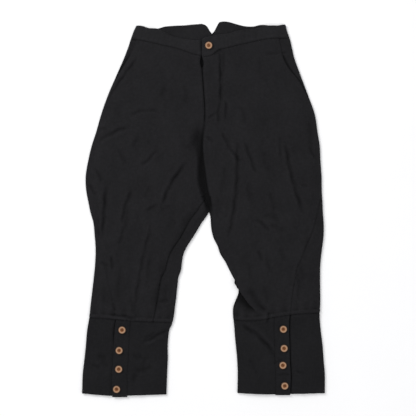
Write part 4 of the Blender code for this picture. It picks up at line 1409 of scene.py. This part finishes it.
def weave_group() -> bpy.types.NodeTree:
    """Plain weave with slubs: crossing threads, some thicker than others along their length.

    Returns:
        The group, which gives a height and a tone at a place on the cut cloth.
    """
    group, nodes, given, result = make_group(
        "plain weave",
        {"Cut": ("NodeSocketVector", None), "Threads": ("NodeSocketFloat", 1300.0),
         "Slubs": ("NodeSocketFloat", 0.5)},
        {"Height": "NodeSocketFloat", "Tone": "NodeSocketFloat"},
    )
    split = nodes.add("ShaderNodeSeparateXYZ", {0: given.outputs["Cut"]})
    turns = nodes.math("MULTIPLY", given.outputs["Threads"], 2 * math.pi)
    warp = nodes.math("SINE", nodes.math("MULTIPLY", split.outputs[0], turns))
    weft = nodes.math("SINE", nodes.math("MULTIPLY", split.outputs[1], turns))
    threads = nodes.math("MULTIPLY", warp, weft)
    slubs = []
    for scale in ((900.0, 60.0, 1.0), (60.0, 900.0, 1.0)):
        stretched = nodes.add("ShaderNodeVectorMath", {0: given.outputs["Cut"], 1: scale}, operation="MULTIPLY")
        slubs.append(nodes.noise(stretched.outputs[0], 1.0, 2.0))
    slub = nodes.math("SUBTRACT", nodes.math("ADD", slubs[0], slubs[1]), 1.0)
    raised = nodes.math("MULTIPLY", slub, given.outputs["Slubs"])
    height = nodes.math("ADD", nodes.math("MULTIPLY", threads, 0.25), nodes.math("MULTIPLY", raised, 2.0))
    nodes.feed(result, {"Height": height, "Tone": nodes.math("ADD", 1.0, raised)})
    return group


def dye_and_painted_light_group() -> bpy.types.NodeTree:
    """Black dye, faded unevenly, rubbed grey on crests with painted highlight there too, darkened by painted shade
    in hollows, with a few specks of lint.

    Returns:
        The group, which gives the cloth's colour.
    """
    group, nodes, given, result = make_group(
        "faded dye and painted light",
        {"Colour": ("NodeSocketColor", (0.02, 0.02, 0.02, 1.0)), "Tone": ("NodeSocketFloat", 1.0),
         "Wear": ("NodeSocketFloat", 0.0), "Rubbed": ("NodeSocketFloat", 0.25),
         "Lint": ("NodeSocketFloat", 0.2), "Painted Shade": ("NodeSocketFloat", 0.0), "Shade Amount": ("NodeSocketFloat", 0.5)},
        {"Colour": "NodeSocketColor"},
    )
    place = nodes.add("ShaderNodeTexCoord").outputs["Object"]
    broad, small = nodes.noise(place, 16.0, 4.0), nodes.noise(place, 160.0, 2.0)
    uneven = nodes.math("ADD", nodes.math("MULTIPLY", broad, 0.5), nodes.math("MULTIPLY", small, 0.5))
    uneven = nodes.math("ADD", uneven, 0.5)
    # wear with painted highlight lightens the dye
    rubbed = nodes.math("ADD", 1.0, nodes.math("MULTIPLY", given.outputs["Wear"], given.outputs["Rubbed"]))
    # painted shade darkens it
    full = nodes.math("SUBTRACT", 1.0, nodes.math("MULTIPLY", given.outputs["Painted Shade"], given.outputs["Shade Amount"]))
    factor = nodes.math("MULTIPLY", nodes.math("MULTIPLY", uneven, given.outputs["Tone"]), rubbed)
    factor = nodes.math("MULTIPLY", factor, full)
    dyed = nodes.mix(1.0, given.outputs["Colour"], nodes.grey(factor), "MULTIPLY")
    specks = nodes.add("ShaderNodeTexVoronoi", {"Vector": place, "Scale": 75.0}).outputs["Distance"]
    speck = nodes.math("MULTIPLY", nodes.math("LESS_THAN", specks, 0.035), given.outputs["Lint"])
    nodes.feed(result, {"Colour": nodes.mix(speck, dyed, (0.10, 0.10, 0.105, 1.0))})
    return group


def grain_group() -> bpy.types.NodeTree:
    """Coconut shell: dark and light fibres along the button, broken by short dashes.

    Returns:
        The group, which gives a colour and a height.
    """
    group, nodes, given, result = make_group(
        "shell grain",
        {"Dark": ("NodeSocketColor", (0.1, 0.05, 0.03, 1.0)), "Light": ("NodeSocketColor", (0.4, 0.2, 0.1, 1.0)),
         "Turned": ("NodeSocketFloat", 0.0)},
        {"Colour": "NodeSocketColor", "Height": "NodeSocketFloat"},
    )
    place = nodes.add("ShaderNodeTexCoord").outputs["Object"]
    stretched = nodes.add("ShaderNodeVectorMath", {0: place, 1: (220.0, 1500.0, 600.0)}, operation="MULTIPLY")
    fibres, cloudy = nodes.noise(stretched.outputs[0], 1.0, 4.0), nodes.noise(place, 240.0, 2.0)
    blend = nodes.math("ADD", nodes.math("MULTIPLY", fibres, 0.7), nodes.math("MULTIPLY", cloudy, 0.45))
    share = nodes.spread(blend, 0.38, 0.78)
    rings = nodes.math("SINE", nodes.math("MULTIPLY", given.outputs["Turned"], 150.0))
    height = nodes.math("ADD", share, nodes.math("MULTIPLY", rings, 0.3))
    nodes.feed(result, {"Colour": nodes.mix(share, given.outputs["Dark"], given.outputs["Light"]),
                        "Height": height})
    return group


def principled(name: str) -> tuple[bpy.types.Material, Nodes, bpy.types.Node]:
    """Start a material.

    Args:
        name: The material's name.

    Returns:
        The material, a Nodes for it, and its shader.
    """
    made = bpy.data.materials.new(name)
    made.use_nodes = True
    return made, Nodes(made.node_tree), made.node_tree.nodes["Principled BSDF"]


@dataclass(frozen=True)
class CottonFinish:
    """Black woven cotton: its dye, weave and wear, with painted shade and painted highlight."""
    name: str
    colour: tuple[float, float, float] = (0.0125, 0.0122, 0.0134)
    roughness: float = 0.92
    threads: float = 1150.0
    slubs: float = 0.55
    relief: float = 0.00012
    # how much wear and painted highlight lighten crests, and how strong the painted shade is
    rubbed: float = 0.3
    shade_amount: float = 0.75
    lint: float = 0.18
    specular: float = 0.12
    sheen: float = 0.06
    sheen_roughness: float = 0.45
    sheen_tint: tuple[float, float, float, float] = (0.75, 0.75, 0.82, 1.0)

    def material(self, weave: bpy.types.NodeTree, fade: bpy.types.NodeTree) -> bpy.types.Material:
        """Principled cotton whose weave follows the cut cloth.

        Args:
            weave: The plain weave group.
            fade: The faded dye group.

        Returns:
            The material.
        """
        made, nodes, shader = principled(self.name)
        cut = nodes.add("ShaderNodeUVMap", uv_map="cut").outputs[0]
        woven = nodes.add("ShaderNodeGroup", {"Cut": cut, "Threads": self.threads, "Slubs": self.slubs},
                          node_tree=weave)
        # wear with painted highlight, and painted shade, carried by attributes
        wear_and_highlight = nodes.add("ShaderNodeAttribute", attribute_name="wear_and_highlight").outputs["Fac"]
        painted_shade = nodes.add("ShaderNodeAttribute", attribute_name="painted_shade").outputs["Fac"]
        dyed = nodes.add("ShaderNodeGroup", {
            "Colour": (*self.colour, 1.0), "Tone": woven.outputs["Tone"], "Wear": wear_and_highlight, "Rubbed": self.rubbed,
            "Lint": self.lint, "Painted Shade": painted_shade, "Shade Amount": self.shade_amount,
        }, node_tree=fade)
        bump = nodes.add("ShaderNodeBump", {"Height": woven.outputs["Height"], "Strength": 1.0,
                                            "Distance": self.relief})
        nodes.feed(shader, {
            "Base Color": dyed.outputs["Colour"], "Normal": bump.outputs[0], "Roughness": self.roughness,
            "Specular IOR Level": self.specular, "Sheen Weight": self.sheen,
            "Sheen Roughness": self.sheen_roughness, "Sheen Tint": self.sheen_tint,
        })
        return made


@dataclass(frozen=True)
class ThreadFinish:
    """Black sewing thread, a little glossier than the cloth."""
    name: str = "black_thread"
    colour: tuple[float, float, float] = (0.008, 0.008, 0.009)
    twist: float = 0.0001
    roughness: float = 0.6
    specular: float = 0.15

    def material(self) -> bpy.types.Material:
        """Principled thread with a fine twist.

        Returns:
            The material.
        """
        made, nodes, shader = principled(self.name)
        twist = nodes.noise(nodes.add("ShaderNodeTexCoord").outputs["Object"], 2500.0, 1.0)
        tone = nodes.math("ADD", 0.75, nodes.math("MULTIPLY", twist, 0.5))
        bump = nodes.add("ShaderNodeBump", {"Height": twist, "Strength": 0.6, "Distance": self.twist})
        nodes.feed(shader, {
            "Base Color": nodes.mix(1.0, (*self.colour, 1.0), nodes.grey(tone), "MULTIPLY"),
            "Normal": bump.outputs[0], "Roughness": self.roughness, "Specular IOR Level": self.specular,
        })
        return made


@dataclass(frozen=True)
class ShellFinish:
    """Turned coconut shell with a paler rubbed rim and a dark edge."""
    name: str = "button_shell"
    dark: tuple[float, float, float] = (0.12, 0.036, 0.008)
    light: tuple[float, float, float] = (0.34, 0.125, 0.032)
    rim: tuple[float, float, float] = (0.46, 0.275, 0.16)
    edge: tuple[float, float, float] = (0.045, 0.018, 0.007)
    rim_starts: tuple[float, float] = (0.40, 0.58)      # shares of the radius over which the rim sets in
    rim_share: float = 0.85
    edge_starts: tuple[float, float] = (0.74, 0.90)
    relief: float = 0.00012
    roughness: float = 0.45
    specular: float = 0.4

    def material(self, grain: bpy.types.NodeTree) -> bpy.types.Material:
        """Principled shell, coloured by its fibres and by how far out on the button a place lies.

        Args:
            grain: The shell grain group.

        Returns:
            The material.
        """
        made, nodes, shader = principled(self.name)
        out = nodes.add("ShaderNodeAttribute", attribute_name="out").outputs["Fac"]
        shell = nodes.add("ShaderNodeGroup", {"Dark": (*self.dark, 1.0), "Light": (*self.light, 1.0),
                                              "Turned": out}, node_tree=grain)
        on_rim = nodes.spread(out, *self.rim_starts, 0.0, self.rim_share)
        colour = nodes.mix(on_rim, shell.outputs["Colour"], (*self.rim, 1.0))
        colour = nodes.mix(nodes.spread(out, *self.edge_starts), colour, (*self.edge, 1.0))
        bump = nodes.add("ShaderNodeBump", {"Height": shell.outputs["Height"], "Strength": 0.5,
                                            "Distance": self.relief})
        nodes.feed(shader, {"Base Color": colour, "Normal": bump.outputs[0], "Roughness": self.roughness,
                            "Specular IOR Level": self.specular})
        return made


@dataclass
class Looks:
    """All materials of the garment."""
    body: bpy.types.Material
    waist: bpy.types.Material
    cuff: bpy.types.Material
    facing: bpy.types.Material
    thread: bpy.types.Material
    shell: bpy.types.Material

    @classmethod
    def make(cls) -> "Looks":
        """Build the shared groups once and every material from them.

        Returns:
            The materials.
        """
        weave, fade, grain = weave_group(), dye_and_painted_light_group(), grain_group()
        # the facings' darker copy of the cloth is painted shade, as they lie in recesses
        facing = CottonFinish("black_cotton_facing_shaded", colour=(0.0118, 0.0116, 0.0126), rubbed=0.1)
        return cls(
            body=CottonFinish("black_cotton_body").material(weave, fade),
            waist=CottonFinish("black_cotton_waist", colour=(0.0140, 0.0138, 0.0150)).material(weave, fade),
            cuff=CottonFinish("black_cotton_cuff", colour=(0.0104, 0.0103, 0.0113)).material(weave, fade),
            facing=facing.material(weave, fade),
            thread=ThreadFinish().material(),
            shell=ShellFinish().material(grain),
        )


def leg_rows() -> np.ndarray:
    """Rows of the leg panels: even ones, one that runs through the crotch, and close ones at the cuff.

    Returns:
        Their places down.
    """
    near, far = ROUNDING
    above = densified(66.0, CROTCH, CELL)[:-2]
    below = np.linspace(CROTCH + far, LEG_END - 2 * far, 132)
    return np.concatenate([above, [CROTCH], below, [LEG_END - far, LEG_END - near, LEG_END]])


@dataclass
class Breeches:
    """The whole garment: its panels, bands, facings and their stitching."""
    looks: Looks
    leg_rows: np.ndarray = field(default_factory=leg_rows)
    stitch_gap: float = 2.0              # how far from an edge its stitching runs
    near_stitch: float = 1.6             # the same at the seams of the legs, whose second row
    second_stitch: float = 7.0           # lies here
    mouth_stitch: float = 8.0            # second row along the pocket's mouth
    fly_second: float = 6.5              # how far out the second row of the fly lies
    hem: float = 24.0                    # how far up the cuffs' hem is stitched

    def seam(self, half: Half, table: tuple) -> Curve:
        """A seam's distance around, at each place down."""
        return lambda down: smooth(table, "down", half.value, down)

    def shown(self, half: Half) -> Curve:
        """Share of a side seam's relief that shows.

        Args:
            half: The half of the garment.

        Returns:
            The share at each place down.
        """
        def share(down: np.ndarray) -> np.ndarray:
            """Nought at the waistband, full along the pocket mouth, and the pressed share further down."""
            below = ease((down - PRESSED_FROM) / PRESSED_EASE)
            return ease((down - MOUTH_START) / MOUTH_EASE) * (1 - below) + OUTSEAM_SHOWN[half.value] * below
        return share

    def finish(self, panel: Panel, look: bpy.types.Material, stitching: Stitching, rests_on: list[str]) -> None:
        """Args:
            panel: The panel.
            look: Its material.
            stitching: Its rows of thread, which may be none.
            rests_on: Not used.
        """
        piece = panel.build(look)
        others = [stitching.build(f"stitches_{panel.name}", self.looks.thread)] if stitching.points else []

    def front(self, half: Half) -> None:
        """Front panel: from the pocket mouth and the outseam to the centre front and the inseam.

        Args:
            half: The half of the garment.
        """
        skin = Skin(half)
        mouth, outseam, inseam = (self.seam(half, table) for table in (POCKET_MOUTH, OUTSEAM, INSEAM))
        shown = self.shown(half)
        panel = Panel(
            f"front_{half.value}", skin,
            start=lambda down: mouth(down) + outseam(down) + SEAM / 2 * shown(down),
            stop=lambda down: skin.over(down) - np.where(down > CROTCH, inseam(down) + SEAM / 2, 0.0),
            top=cross(WAIST_SEAM_FRONT[half.value], SEAM / 2), bottom=cross(CUFF_SEAM[half.value], -SEAM / 2),
            rows=self.leg_rows, cell=CELL, wall=CLOTH,
            finishes=(Finish.SEAM, Finish.SEAM, Finish.PRESSED, Finish.GATHERED),
            overhang=KNEE_OVERHANG if half is Half.LEFT else None, shown=shown,
        )
        stitching = Stitching()
        for distance in (self.stitch_gap, self.mouth_stitch):
            stitching.run(panel.beside("start", distance, 0.0, 0.24))
        for distance in (self.near_stitch, self.second_stitch):
            stitching.run(panel.beside("stop", distance, 0.62, 1.0))
        stitching.run(panel.beside("start", self.near_stitch, 0.55, 1.0))
        if half is Half.LEFT:
            stitching.run(panel.beside("stop", self.stitch_gap, 0.0, 0.27))
            stitching.run(panel.along(FLY_STITCHING))
            stitching.run(panel.along(FLY_STITCHING, self.fly_second))
        self.finish(panel, self.looks.body, stitching, [f"back_{half.value}"])

    def back(self, half: Half) -> None:
        """Back panel: flat on the floor, rolled over both edges up to the seams that show on top.

        Args:
            half: The half of the garment.
        """
        skin = Skin(half)
        outseam, inseam = self.seam(half, OUTSEAM), self.seam(half, INSEAM)
        shown = self.shown(half)

        def stop(down: np.ndarray) -> np.ndarray:
            """The centre back, then the inseam past the inner roll.

            Args:
                down: Places down.

            Returns:
                Distances around.
            """
            centre = skin.roll + skin.outer(down) - skin.inner_back(down) - skin.roll_across
            wrapped = skin.over(down) + inseam(down) - SEAM / 2
            return -np.where(down > CROTCH, wrapped, centre)

        panel = Panel(
            f"back_{half.value}", skin, start=lambda down: outseam(down) - SEAM / 2 * shown(down), stop=stop,
            top=cross(WAIST_SEAM_BACK[half.value], SEAM / 2), bottom=cross(CUFF_SEAM[half.value], -SEAM / 2),
            rows=self.leg_rows, cell=CELL * 2, wall=CLOTH,
            finishes=(Finish.SEAM, Finish.SEAM, Finish.HIDDEN, Finish.GATHERED),
            overhang=KNEE_OVERHANG if half is Half.LEFT else None, shown=shown,
        )
        stitching = Stitching()
        for distance in (self.near_stitch, self.second_stitch):
            stitching.run(panel.beside("stop", distance, 0.0, 0.55))
        self.finish(panel, self.looks.body, stitching, [])

    def waistband_front(self, half: Half) -> None:
        """Front half of the waistband; the left one laps over the right one's end.

        Args:
            half: The half of the garment.
        """
        skin = Skin(half)
        right = half is Half.RIGHT
        end = WAIST_END_RIGHT if right else TAB_END

        def sink(across: np.ndarray, around: np.ndarray, down: np.ndarray) -> np.ndarray:
            """Let the right end down under the left one, from a millimetre before its end."""
            return LAP_SINK * ease((across - TAB_END + LAP_EASE + 1) / LAP_EASE)

        panel = Panel(
            f"waistband_front_{half.value}", skin,
            start=steady(SEAM / 2), stop=lambda down: skin.at_across(end, down),
            top=cross(WAIST_TOP_FRONT[half.value]), bottom=cross(WAIST_SEAM_FRONT[half.value], -SEAM / 2),
            rows=densified(30, 66, FINE_CELL), cell=FINE_CELL, wall=BAND,
            finishes=(Finish.SEAM, Finish.FOLDED, Finish.FOLDED, Finish.SEAM), sink=sink if right else None,
        )
        stitching = Stitching()
        for edge in ("top", "bottom") if right else ("top", "bottom", "stop"):
            stitching.run(panel.beside(edge, self.stitch_gap))
        self.finish(panel, self.looks.waist, stitching, [f"waistband_back_{half.value}"])

    def waistband_back(self, half: Half) -> None:
        """Back half of the waistband: it rises to a peak beside the notch, and its inner face shows.

        Args:
            half: The half of the garment.
        """
        skin = Skin(half)
        panel = Panel(
            f"waistband_back_{half.value}", skin,
            start=steady(-SEAM / 2),
            stop=lambda down: -(skin.roll + skin.outer(down) - skin.inner_back(down) - skin.roll_across),
            top=cross(WAIST_TOP_BACK[half.value]), bottom=cross(WAIST_SEAM_BACK[half.value], -SEAM / 2),
            rows=densified(12, 52, FINE_CELL), cell=FINE_CELL, wall=BAND, inner_face_shade=0.1,
            finishes=(Finish.SEAM, Finish.HIDDEN, Finish.HIDDEN, Finish.HIDDEN),
        )
        stitching = Stitching()
        stitching.run(panel.beside("top", self.stitch_gap + 0.5))
        stitching.run(panel.beside("bottom", self.stitch_gap))
        self.finish(panel, self.looks.waist, stitching, [])

    def pocket_facing(self, half: Half) -> None:
        """Pocket facing: fills the corner outside the slanting mouth and runs in under the front.

        Args:
            half: The half of the garment.
        """
        skin = Skin(half)
        mouth = self.seam(half, POCKET_MOUTH)
        end = POCKET_END[half.value]

        def sink(across: np.ndarray, around: np.ndarray, down: np.ndarray) -> np.ndarray:
            """Let the facing down under the front's mouth, less beside the waistband."""
            depth = POCKET_SINK_TOP + (POCKET_SINK - POCKET_SINK_TOP) * ease((down - MOUTH_START) / MOUTH_EASE)
            return depth * ease(1.5 * around / np.maximum(mouth(down) - 1, 0.5) - 0.5)

        panel = Panel(
            f"pocket_facing_{half.value}", skin, start=steady(SEAM / 2), stop=lambda down: mouth(down) + POCKET_LAP,
            top=cross(WAIST_SEAM_FRONT[half.value], SEAM / 2), bottom=level(end),
            rows=densified(POCKET_TOP, end, FINE_CELL), cell=FINE_CELL, wall=FACING,
            finishes=(Finish.SEAM, Finish.HIDDEN, Finish.SEAM, Finish.HIDDEN), sink=sink,
        )
        self.finish(panel, self.looks.facing, Stitching(), [f"back_{half.value}"])

    def fly(self) -> None:
        """Fly: the left front's facing behind its edge, and the right front's underlap in the slit."""
        skin = Skin(Half.LEFT)
        hidden = (Finish.HIDDEN,) * 4

        def facing_sink(across: np.ndarray, around: np.ndarray, down: np.ndarray) -> np.ndarray:
            """Keep the facing just behind the front."""
            return np.full(across.shape, FLY_SINK)

        def lap_sink(across: np.ndarray, around: np.ndarray, down: np.ndarray) -> np.ndarray:
            """Keep the underlap behind the facing, rising towards the right front."""
            rise = ease((smooth(CENTRES, "down", "front", down) - UNDERLAP_FLAT - across) / LAP_EASE)
            return UNDERLAP_SINK - UNDERLAP_RISE * rise

        facing = Panel(
            "fly_facing", skin,
            start=lambda down: skin.at_across(0.0, down) - smooth(FLY_EDGE, "down", "across", down),
            stop=lambda down: skin.over(down) - 1.0, top=level(FLY_TOP), bottom=level(FLY_END),
            rows=densified(FLY_TOP, FLY_END, FINE_CELL), cell=FINE_CELL, wall=FACING, finishes=hidden,
            sink=facing_sink,
        )
        self.finish(facing, self.looks.facing, Stitching(), ["fly_underlap"])
        underlap = Panel(
            "fly_underlap", skin,
            start=lambda down: skin.at_across(UNDERLAP_ACROSS[1], down),
            stop=lambda down: skin.at_across(UNDERLAP_ACROSS[0], down), top=level(UNDERLAP_TOP),
            bottom=level(UNDERLAP_END), rows=densified(UNDERLAP_TOP, UNDERLAP_END, FINE_CELL), cell=FINE_CELL,
            wall=FACING, finishes=hidden, sink=lap_sink,
        )
        self.finish(underlap, self.looks.facing, Stitching(), ["back_right"])

    def cuff(self, half: Half) -> None:
        """Cuff: one band round the calf whose outer end runs in under the buttonhole band, and that band.

        Args:
            half: The half of the garment.
        """
        skin = Skin(half)
        edge = self.seam(half, CUFF_BAND)
        seam = CUFF_SEAM[half.value]

        def sink(across: np.ndarray, around: np.ndarray, down: np.ndarray) -> np.ndarray:
            """Let the cuff's end down under the band, on the right leg less deep below the top button."""
            depth = LAP_SINK - CUFF_LAP_EASED[half.value] * ease((down - CUFF_EASE_FROM) / CUFF_EASE)
            return depth * ease((around - edge(down) + LAP_EASE + 2) / LAP_EASE)

        tube = Panel(
            f"cuff_{half.value}", skin, start=lambda down: edge(down) + BAND_WIDTH - 3,
            stop=lambda down: -2 * skin.over(down) + edge(down) + BAND_WIDTH + SEAM,
            top=cross(seam, -CUFF_TUCK), bottom=cross(HEM[half.value]), rows=densified(760, 944, CUFF_CELL),
            cell=CUFF_CELL, wall=BAND,
            finishes=(Finish.HIDDEN, Finish.PRESSED, Finish.SEAM, Finish.FOLDED), sink=sink,
        )
        stitching = Stitching()
        for name, distance in (("top", self.stitch_gap), ("bottom", self.stitch_gap), ("bottom", self.hem)):
            stitching.run(tube.beside(name, distance))
        self.finish(tube, self.looks.cuff, stitching, [])
        band = Panel(
            f"cuff_band_{half.value}", skin, start=edge, stop=lambda down: edge(down) + BAND_WIDTH,
            top=cross(seam, -CUFF_TUCK), bottom=level(BAND_END[half.value]),
            rows=densified(760, BAND_END[half.value], FINE_CELL), cell=FINE_CELL, wall=BAND,
            finishes=(Finish.FOLDED, Finish.PRESSED, Finish.SEAM, Finish.FOLDED),
        )
        stitching = Stitching()
        for name in ("start", "stop", "bottom"):
            stitching.run(band.beside(name, self.stitch_gap))
        self.finish(band, self.looks.cuff, stitching, [f"cuff_{half.value}"])

    def build(self) -> None:
        """Build every cloth piece of both halves."""
        for half in Half:
            for make in (self.back, self.front, self.waistband_back, self.waistband_front,
                         self.pocket_facing, self.cuff):
                make(half)
        self.fly()


@dataclass
class Button:
    """A turned four-hole button of coconut shell, sewn on with thread."""
    name: str
    place: Edge
    skin: Skin
    looks: Looks
    radius: float = 10.0
    height: float = 3.4
    hole: float = 1.3
    hole_out: float = 2.1
    turn: float = 0.3
    dish: float = 0.56                       # height of the face's middle, as a share
    sides: int = 72
    felt: tuple[float, float] = (0.5, 0.85)  # rings under the button where the cloth's height is felt
    back: ClassVar[tuple] = ((0.02, 0.0), (0.5, 0.0), (0.84, 0.0), (0.93, 0.08), (0.985, 0.22), (1.0, 0.40))

    def seat(self) -> float:
        """Height of the cloth under the button.

        Returns:
            That of the highest of the places that it covers, and a hair, in millimetres.
        """
        turns = np.linspace(0, 2 * math.pi, 24, endpoint=False)
        rings = [self.place.across + self.radius * share * np.cos(turns) for share in self.felt]
        lines = [self.place.down + self.radius * share * np.sin(turns) for share in self.felt]
        across, down = np.concatenate(rings), np.concatenate(lines)
        return float(self.skin.place(self.skin.at_across(across, down), down)[:, 2].max()) + SEAM

    def face(self, out: np.ndarray, angle: np.ndarray) -> np.ndarray:
        """Height of the front face, as a share of the button's height.

        A raised rounded rim falls by a smooth step to a shallow dish, and four holes sink into it.

        Args:
            out: Distance from the middle as a share of the radius.
            angle: Direction.

        Returns:
            Heights as shares.
        """
        dish = self.dish + 0.06 * out**2
        rim = 0.40 * ease((out - 0.42) / 0.14)
        fall = -0.45 * ease((out - 0.80) / 0.20) ** 2
        height = dish + rim + fall
        x, y = out * self.radius * np.cos(angle), out * self.radius * np.sin(angle)
        for number in range(4):
            where = self.turn + math.pi / 4 + number * math.pi / 2
            apart = np.hypot(x - self.hole_out * math.cos(where), y - self.hole_out * math.sin(where))
            height = height - 0.42 * ease((self.hole - apart) / 0.45)
        return height

    def build(self) -> bpy.types.Object:
        """Turn the button as rings of corners: up the back's bevel, round the rim and in over the face.

        Returns:
            The piece, standing for the solid of the same name.
        """
        angle = 2 * math.pi * np.arange(self.sides) / self.sides
        outs = np.concatenate([np.linspace(1.0, 0.60, 26), np.linspace(0.585, 0.03, 40)])
        profile = [(share, np.full(self.sides, rise)) for share, rise in self.back]
        profile += [(out, self.face(out, angle)) for out in outs]
        shape = np.array([np.stack([share * self.radius * np.cos(angle), share * self.radius * np.sin(angle),
                                    rise * self.height], axis=-1) for share, rise in profile])
        share = np.concatenate([np.ones(len(self.back)), outs])[:, None] * np.ones(self.sides)
        corners = np.concatenate([shape.reshape(-1, 3), [[0, 0, 0], [0, 0, self.dish * self.height]]])
        index = np.arange(shape.shape[0] * self.sides).reshape(-1, self.sides)
        after = np.roll(index, -1, axis=1)
        walls = np.stack([index[:-1], after[:-1], after[1:], index[1:]], axis=-1).reshape(-1, 4)
        quads = np.concatenate([walls[:, [0, 1, 2]], walls[:, [0, 2, 3]]])
        below, above = corners.shape[0] - 2, corners.shape[0] - 1
        caps = np.concatenate([np.stack([after[0], index[0], np.full(self.sides, below)], axis=-1),
                               np.stack([index[-1], after[-1], np.full(self.sides, above)], axis=-1)])
        seat = np.array([self.place.across, LENGTH / 2 - self.place.down, self.seat()])
        outs = np.concatenate([share.ravel(), [0.0, 0.0]])
        piece = Piece.add(self.name, (corners + seat) * MM, np.concatenate([quads, caps]), self.looks.shell,
                          "button_wood", values={"out": outs})
        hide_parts(self.name.replace("turned_", ""))
        self.sew(seat)
        return piece

    def sew(self, seat: np.ndarray) -> None:
        """Two thick stitches across the holes: each a half round bar that dips into its two holes.

        Args:
            seat: Where the middle of the button's back lies, in millimetres.
        """
        stitching = Stitching(length=2.0, gap=-1.2, width=0.7, height=0.4)
        for first, second in ((0, 1), (2, 3)):
            ends = [self.turn + math.pi / 4 + number * math.pi / 2 for number in (first, second)]
            t = np.linspace(0, 1, 12)[:, None]
            start, end = (self.hole_out * np.array([math.cos(a), math.sin(a), 0.0]) for a in ends)
            line = start * (1 - t) + end * t
            line[:, 2] = self.height * self.dish + 0.1 - 0.9 * (2 * t[:, 0] - 1) ** 6
            stitching.run((line + seat, np.tile([0.0, 0.0, 1.0], (12, 1))))
        stitching.build(f"{self.name}_thread", self.looks.thread)


@dataclass(frozen=True)
class Studio:
    """Pale floor, soft light and the camera straight above."""
    millimetres_per_pixel: float = 2.543
    picture_side: int = 416
    middle_across: float = 11.6
    middle_up: float = 3.3
    lens: float = 85.0
    sensor: float = 36.0
    sky: float = 0.58
    key_power: float = 46.0
    fill_share: float = 0.25
    floor_half: float = 3.0
    floor_drop: float = 0.0003

    def floor(self) -> None:
        """Lay a wide pale floor just under the cloth."""
        mesh = bpy.data.meshes.new("floor")
        half, height = self.floor_half, -self.floor_drop
        corners = [(-half, -half, height), (half, -half, height), (half, half, height), (-half, half, height)]
        mesh.from_pydata(corners, [], [(0, 1, 2, 3)])
        paper, nodes, shader = principled("white_paper")
        noise = nodes.add("ShaderNodeTexNoise", {"Scale": 40.0}).outputs["Fac"]
        nodes.feed(shader, {
            "Base Color": nodes.grey(nodes.spread(noise, 0.0, 1.0, 0.98, 1.0)), "Roughness": 0.9,
            "Specular IOR Level": 0.1, "Emission Color": (1.0, 1.0, 1.0, 1.0), "Emission Strength": 0.07,
        })
        mesh.materials.append(paper)
        floor = bpy.data.objects.new("floor", mesh)
        bpy.context.scene.collection.objects.link(floor)

    def lights(self) -> None:
        """A soft sky, a large key light from the waist's right-hand side, and a weak fill."""
        world = bpy.data.worlds.new("studio")
        world.use_nodes = True
        sky = {"Color": (0.98, 0.98, 1.0, 1.0), "Strength": self.sky}
        Nodes(world.node_tree).feed(world.node_tree.nodes["Background"], sky)
        bpy.context.scene.world = world
        for name, place, side, power in (
            ("key", (-1.7, 1.5, 1.9), 1.3, self.key_power),
            ("fill", (1.4, -1.2, 2.0), 1.6, self.key_power * self.fill_share),
        ):
            light = bpy.data.lights.new(name, "AREA")
            light.size = side
            light.energy = power
            lamp = bpy.data.objects.new(name, light)
            lamp.location = place
            aim = math.atan2(math.hypot(place[0], place[1]), place[2])
            lamp.rotation_euler = (aim, 0.0, math.atan2(place[1], place[0]) + math.pi / 2)
            bpy.context.scene.collection.objects.link(lamp)

    def camera(self) -> None:
        """Look straight down from where the lens frames the picture's width at the garment."""
        lens = bpy.data.cameras.new("camera")
        lens.lens = self.lens
        lens.sensor_width = self.sensor
        lens.clip_end = 20.0
        camera = bpy.data.objects.new("camera", lens)
        across = self.millimetres_per_pixel * self.picture_side
        away = across * self.lens / self.sensor
        camera.location = (self.middle_across * MM, self.middle_up * MM, away * MM + 0.005)
        bpy.context.scene.collection.objects.link(camera)
        bpy.context.scene.camera = camera

    def build(self) -> None:
        """Set up the whole studio."""
        self.floor()
        self.lights()
        self.camera()
        bpy.context.scene.view_settings.view_transform = "Standard"


def main() -> None:
    """Build the studio, the garment and its buttons."""
    logging.basicConfig(level=logging.INFO)
    Studio().build()
    looks = Looks.make()
    Breeches(looks).build()
    for half in Half:
        for number, place in enumerate(CUFF_BUTTONS[half.value], start=1):
            name = f"turned_button_cuff_{half.value}_{number}"
            Button(name, place, Skin(half), looks, turn=0.4 * number).build()
    Button("turned_button_waist", WAIST_BUTTON, Skin(Half.LEFT), looks).build()
    log.info("buttons sewn on")


if __name__ == "__main__":
    main()
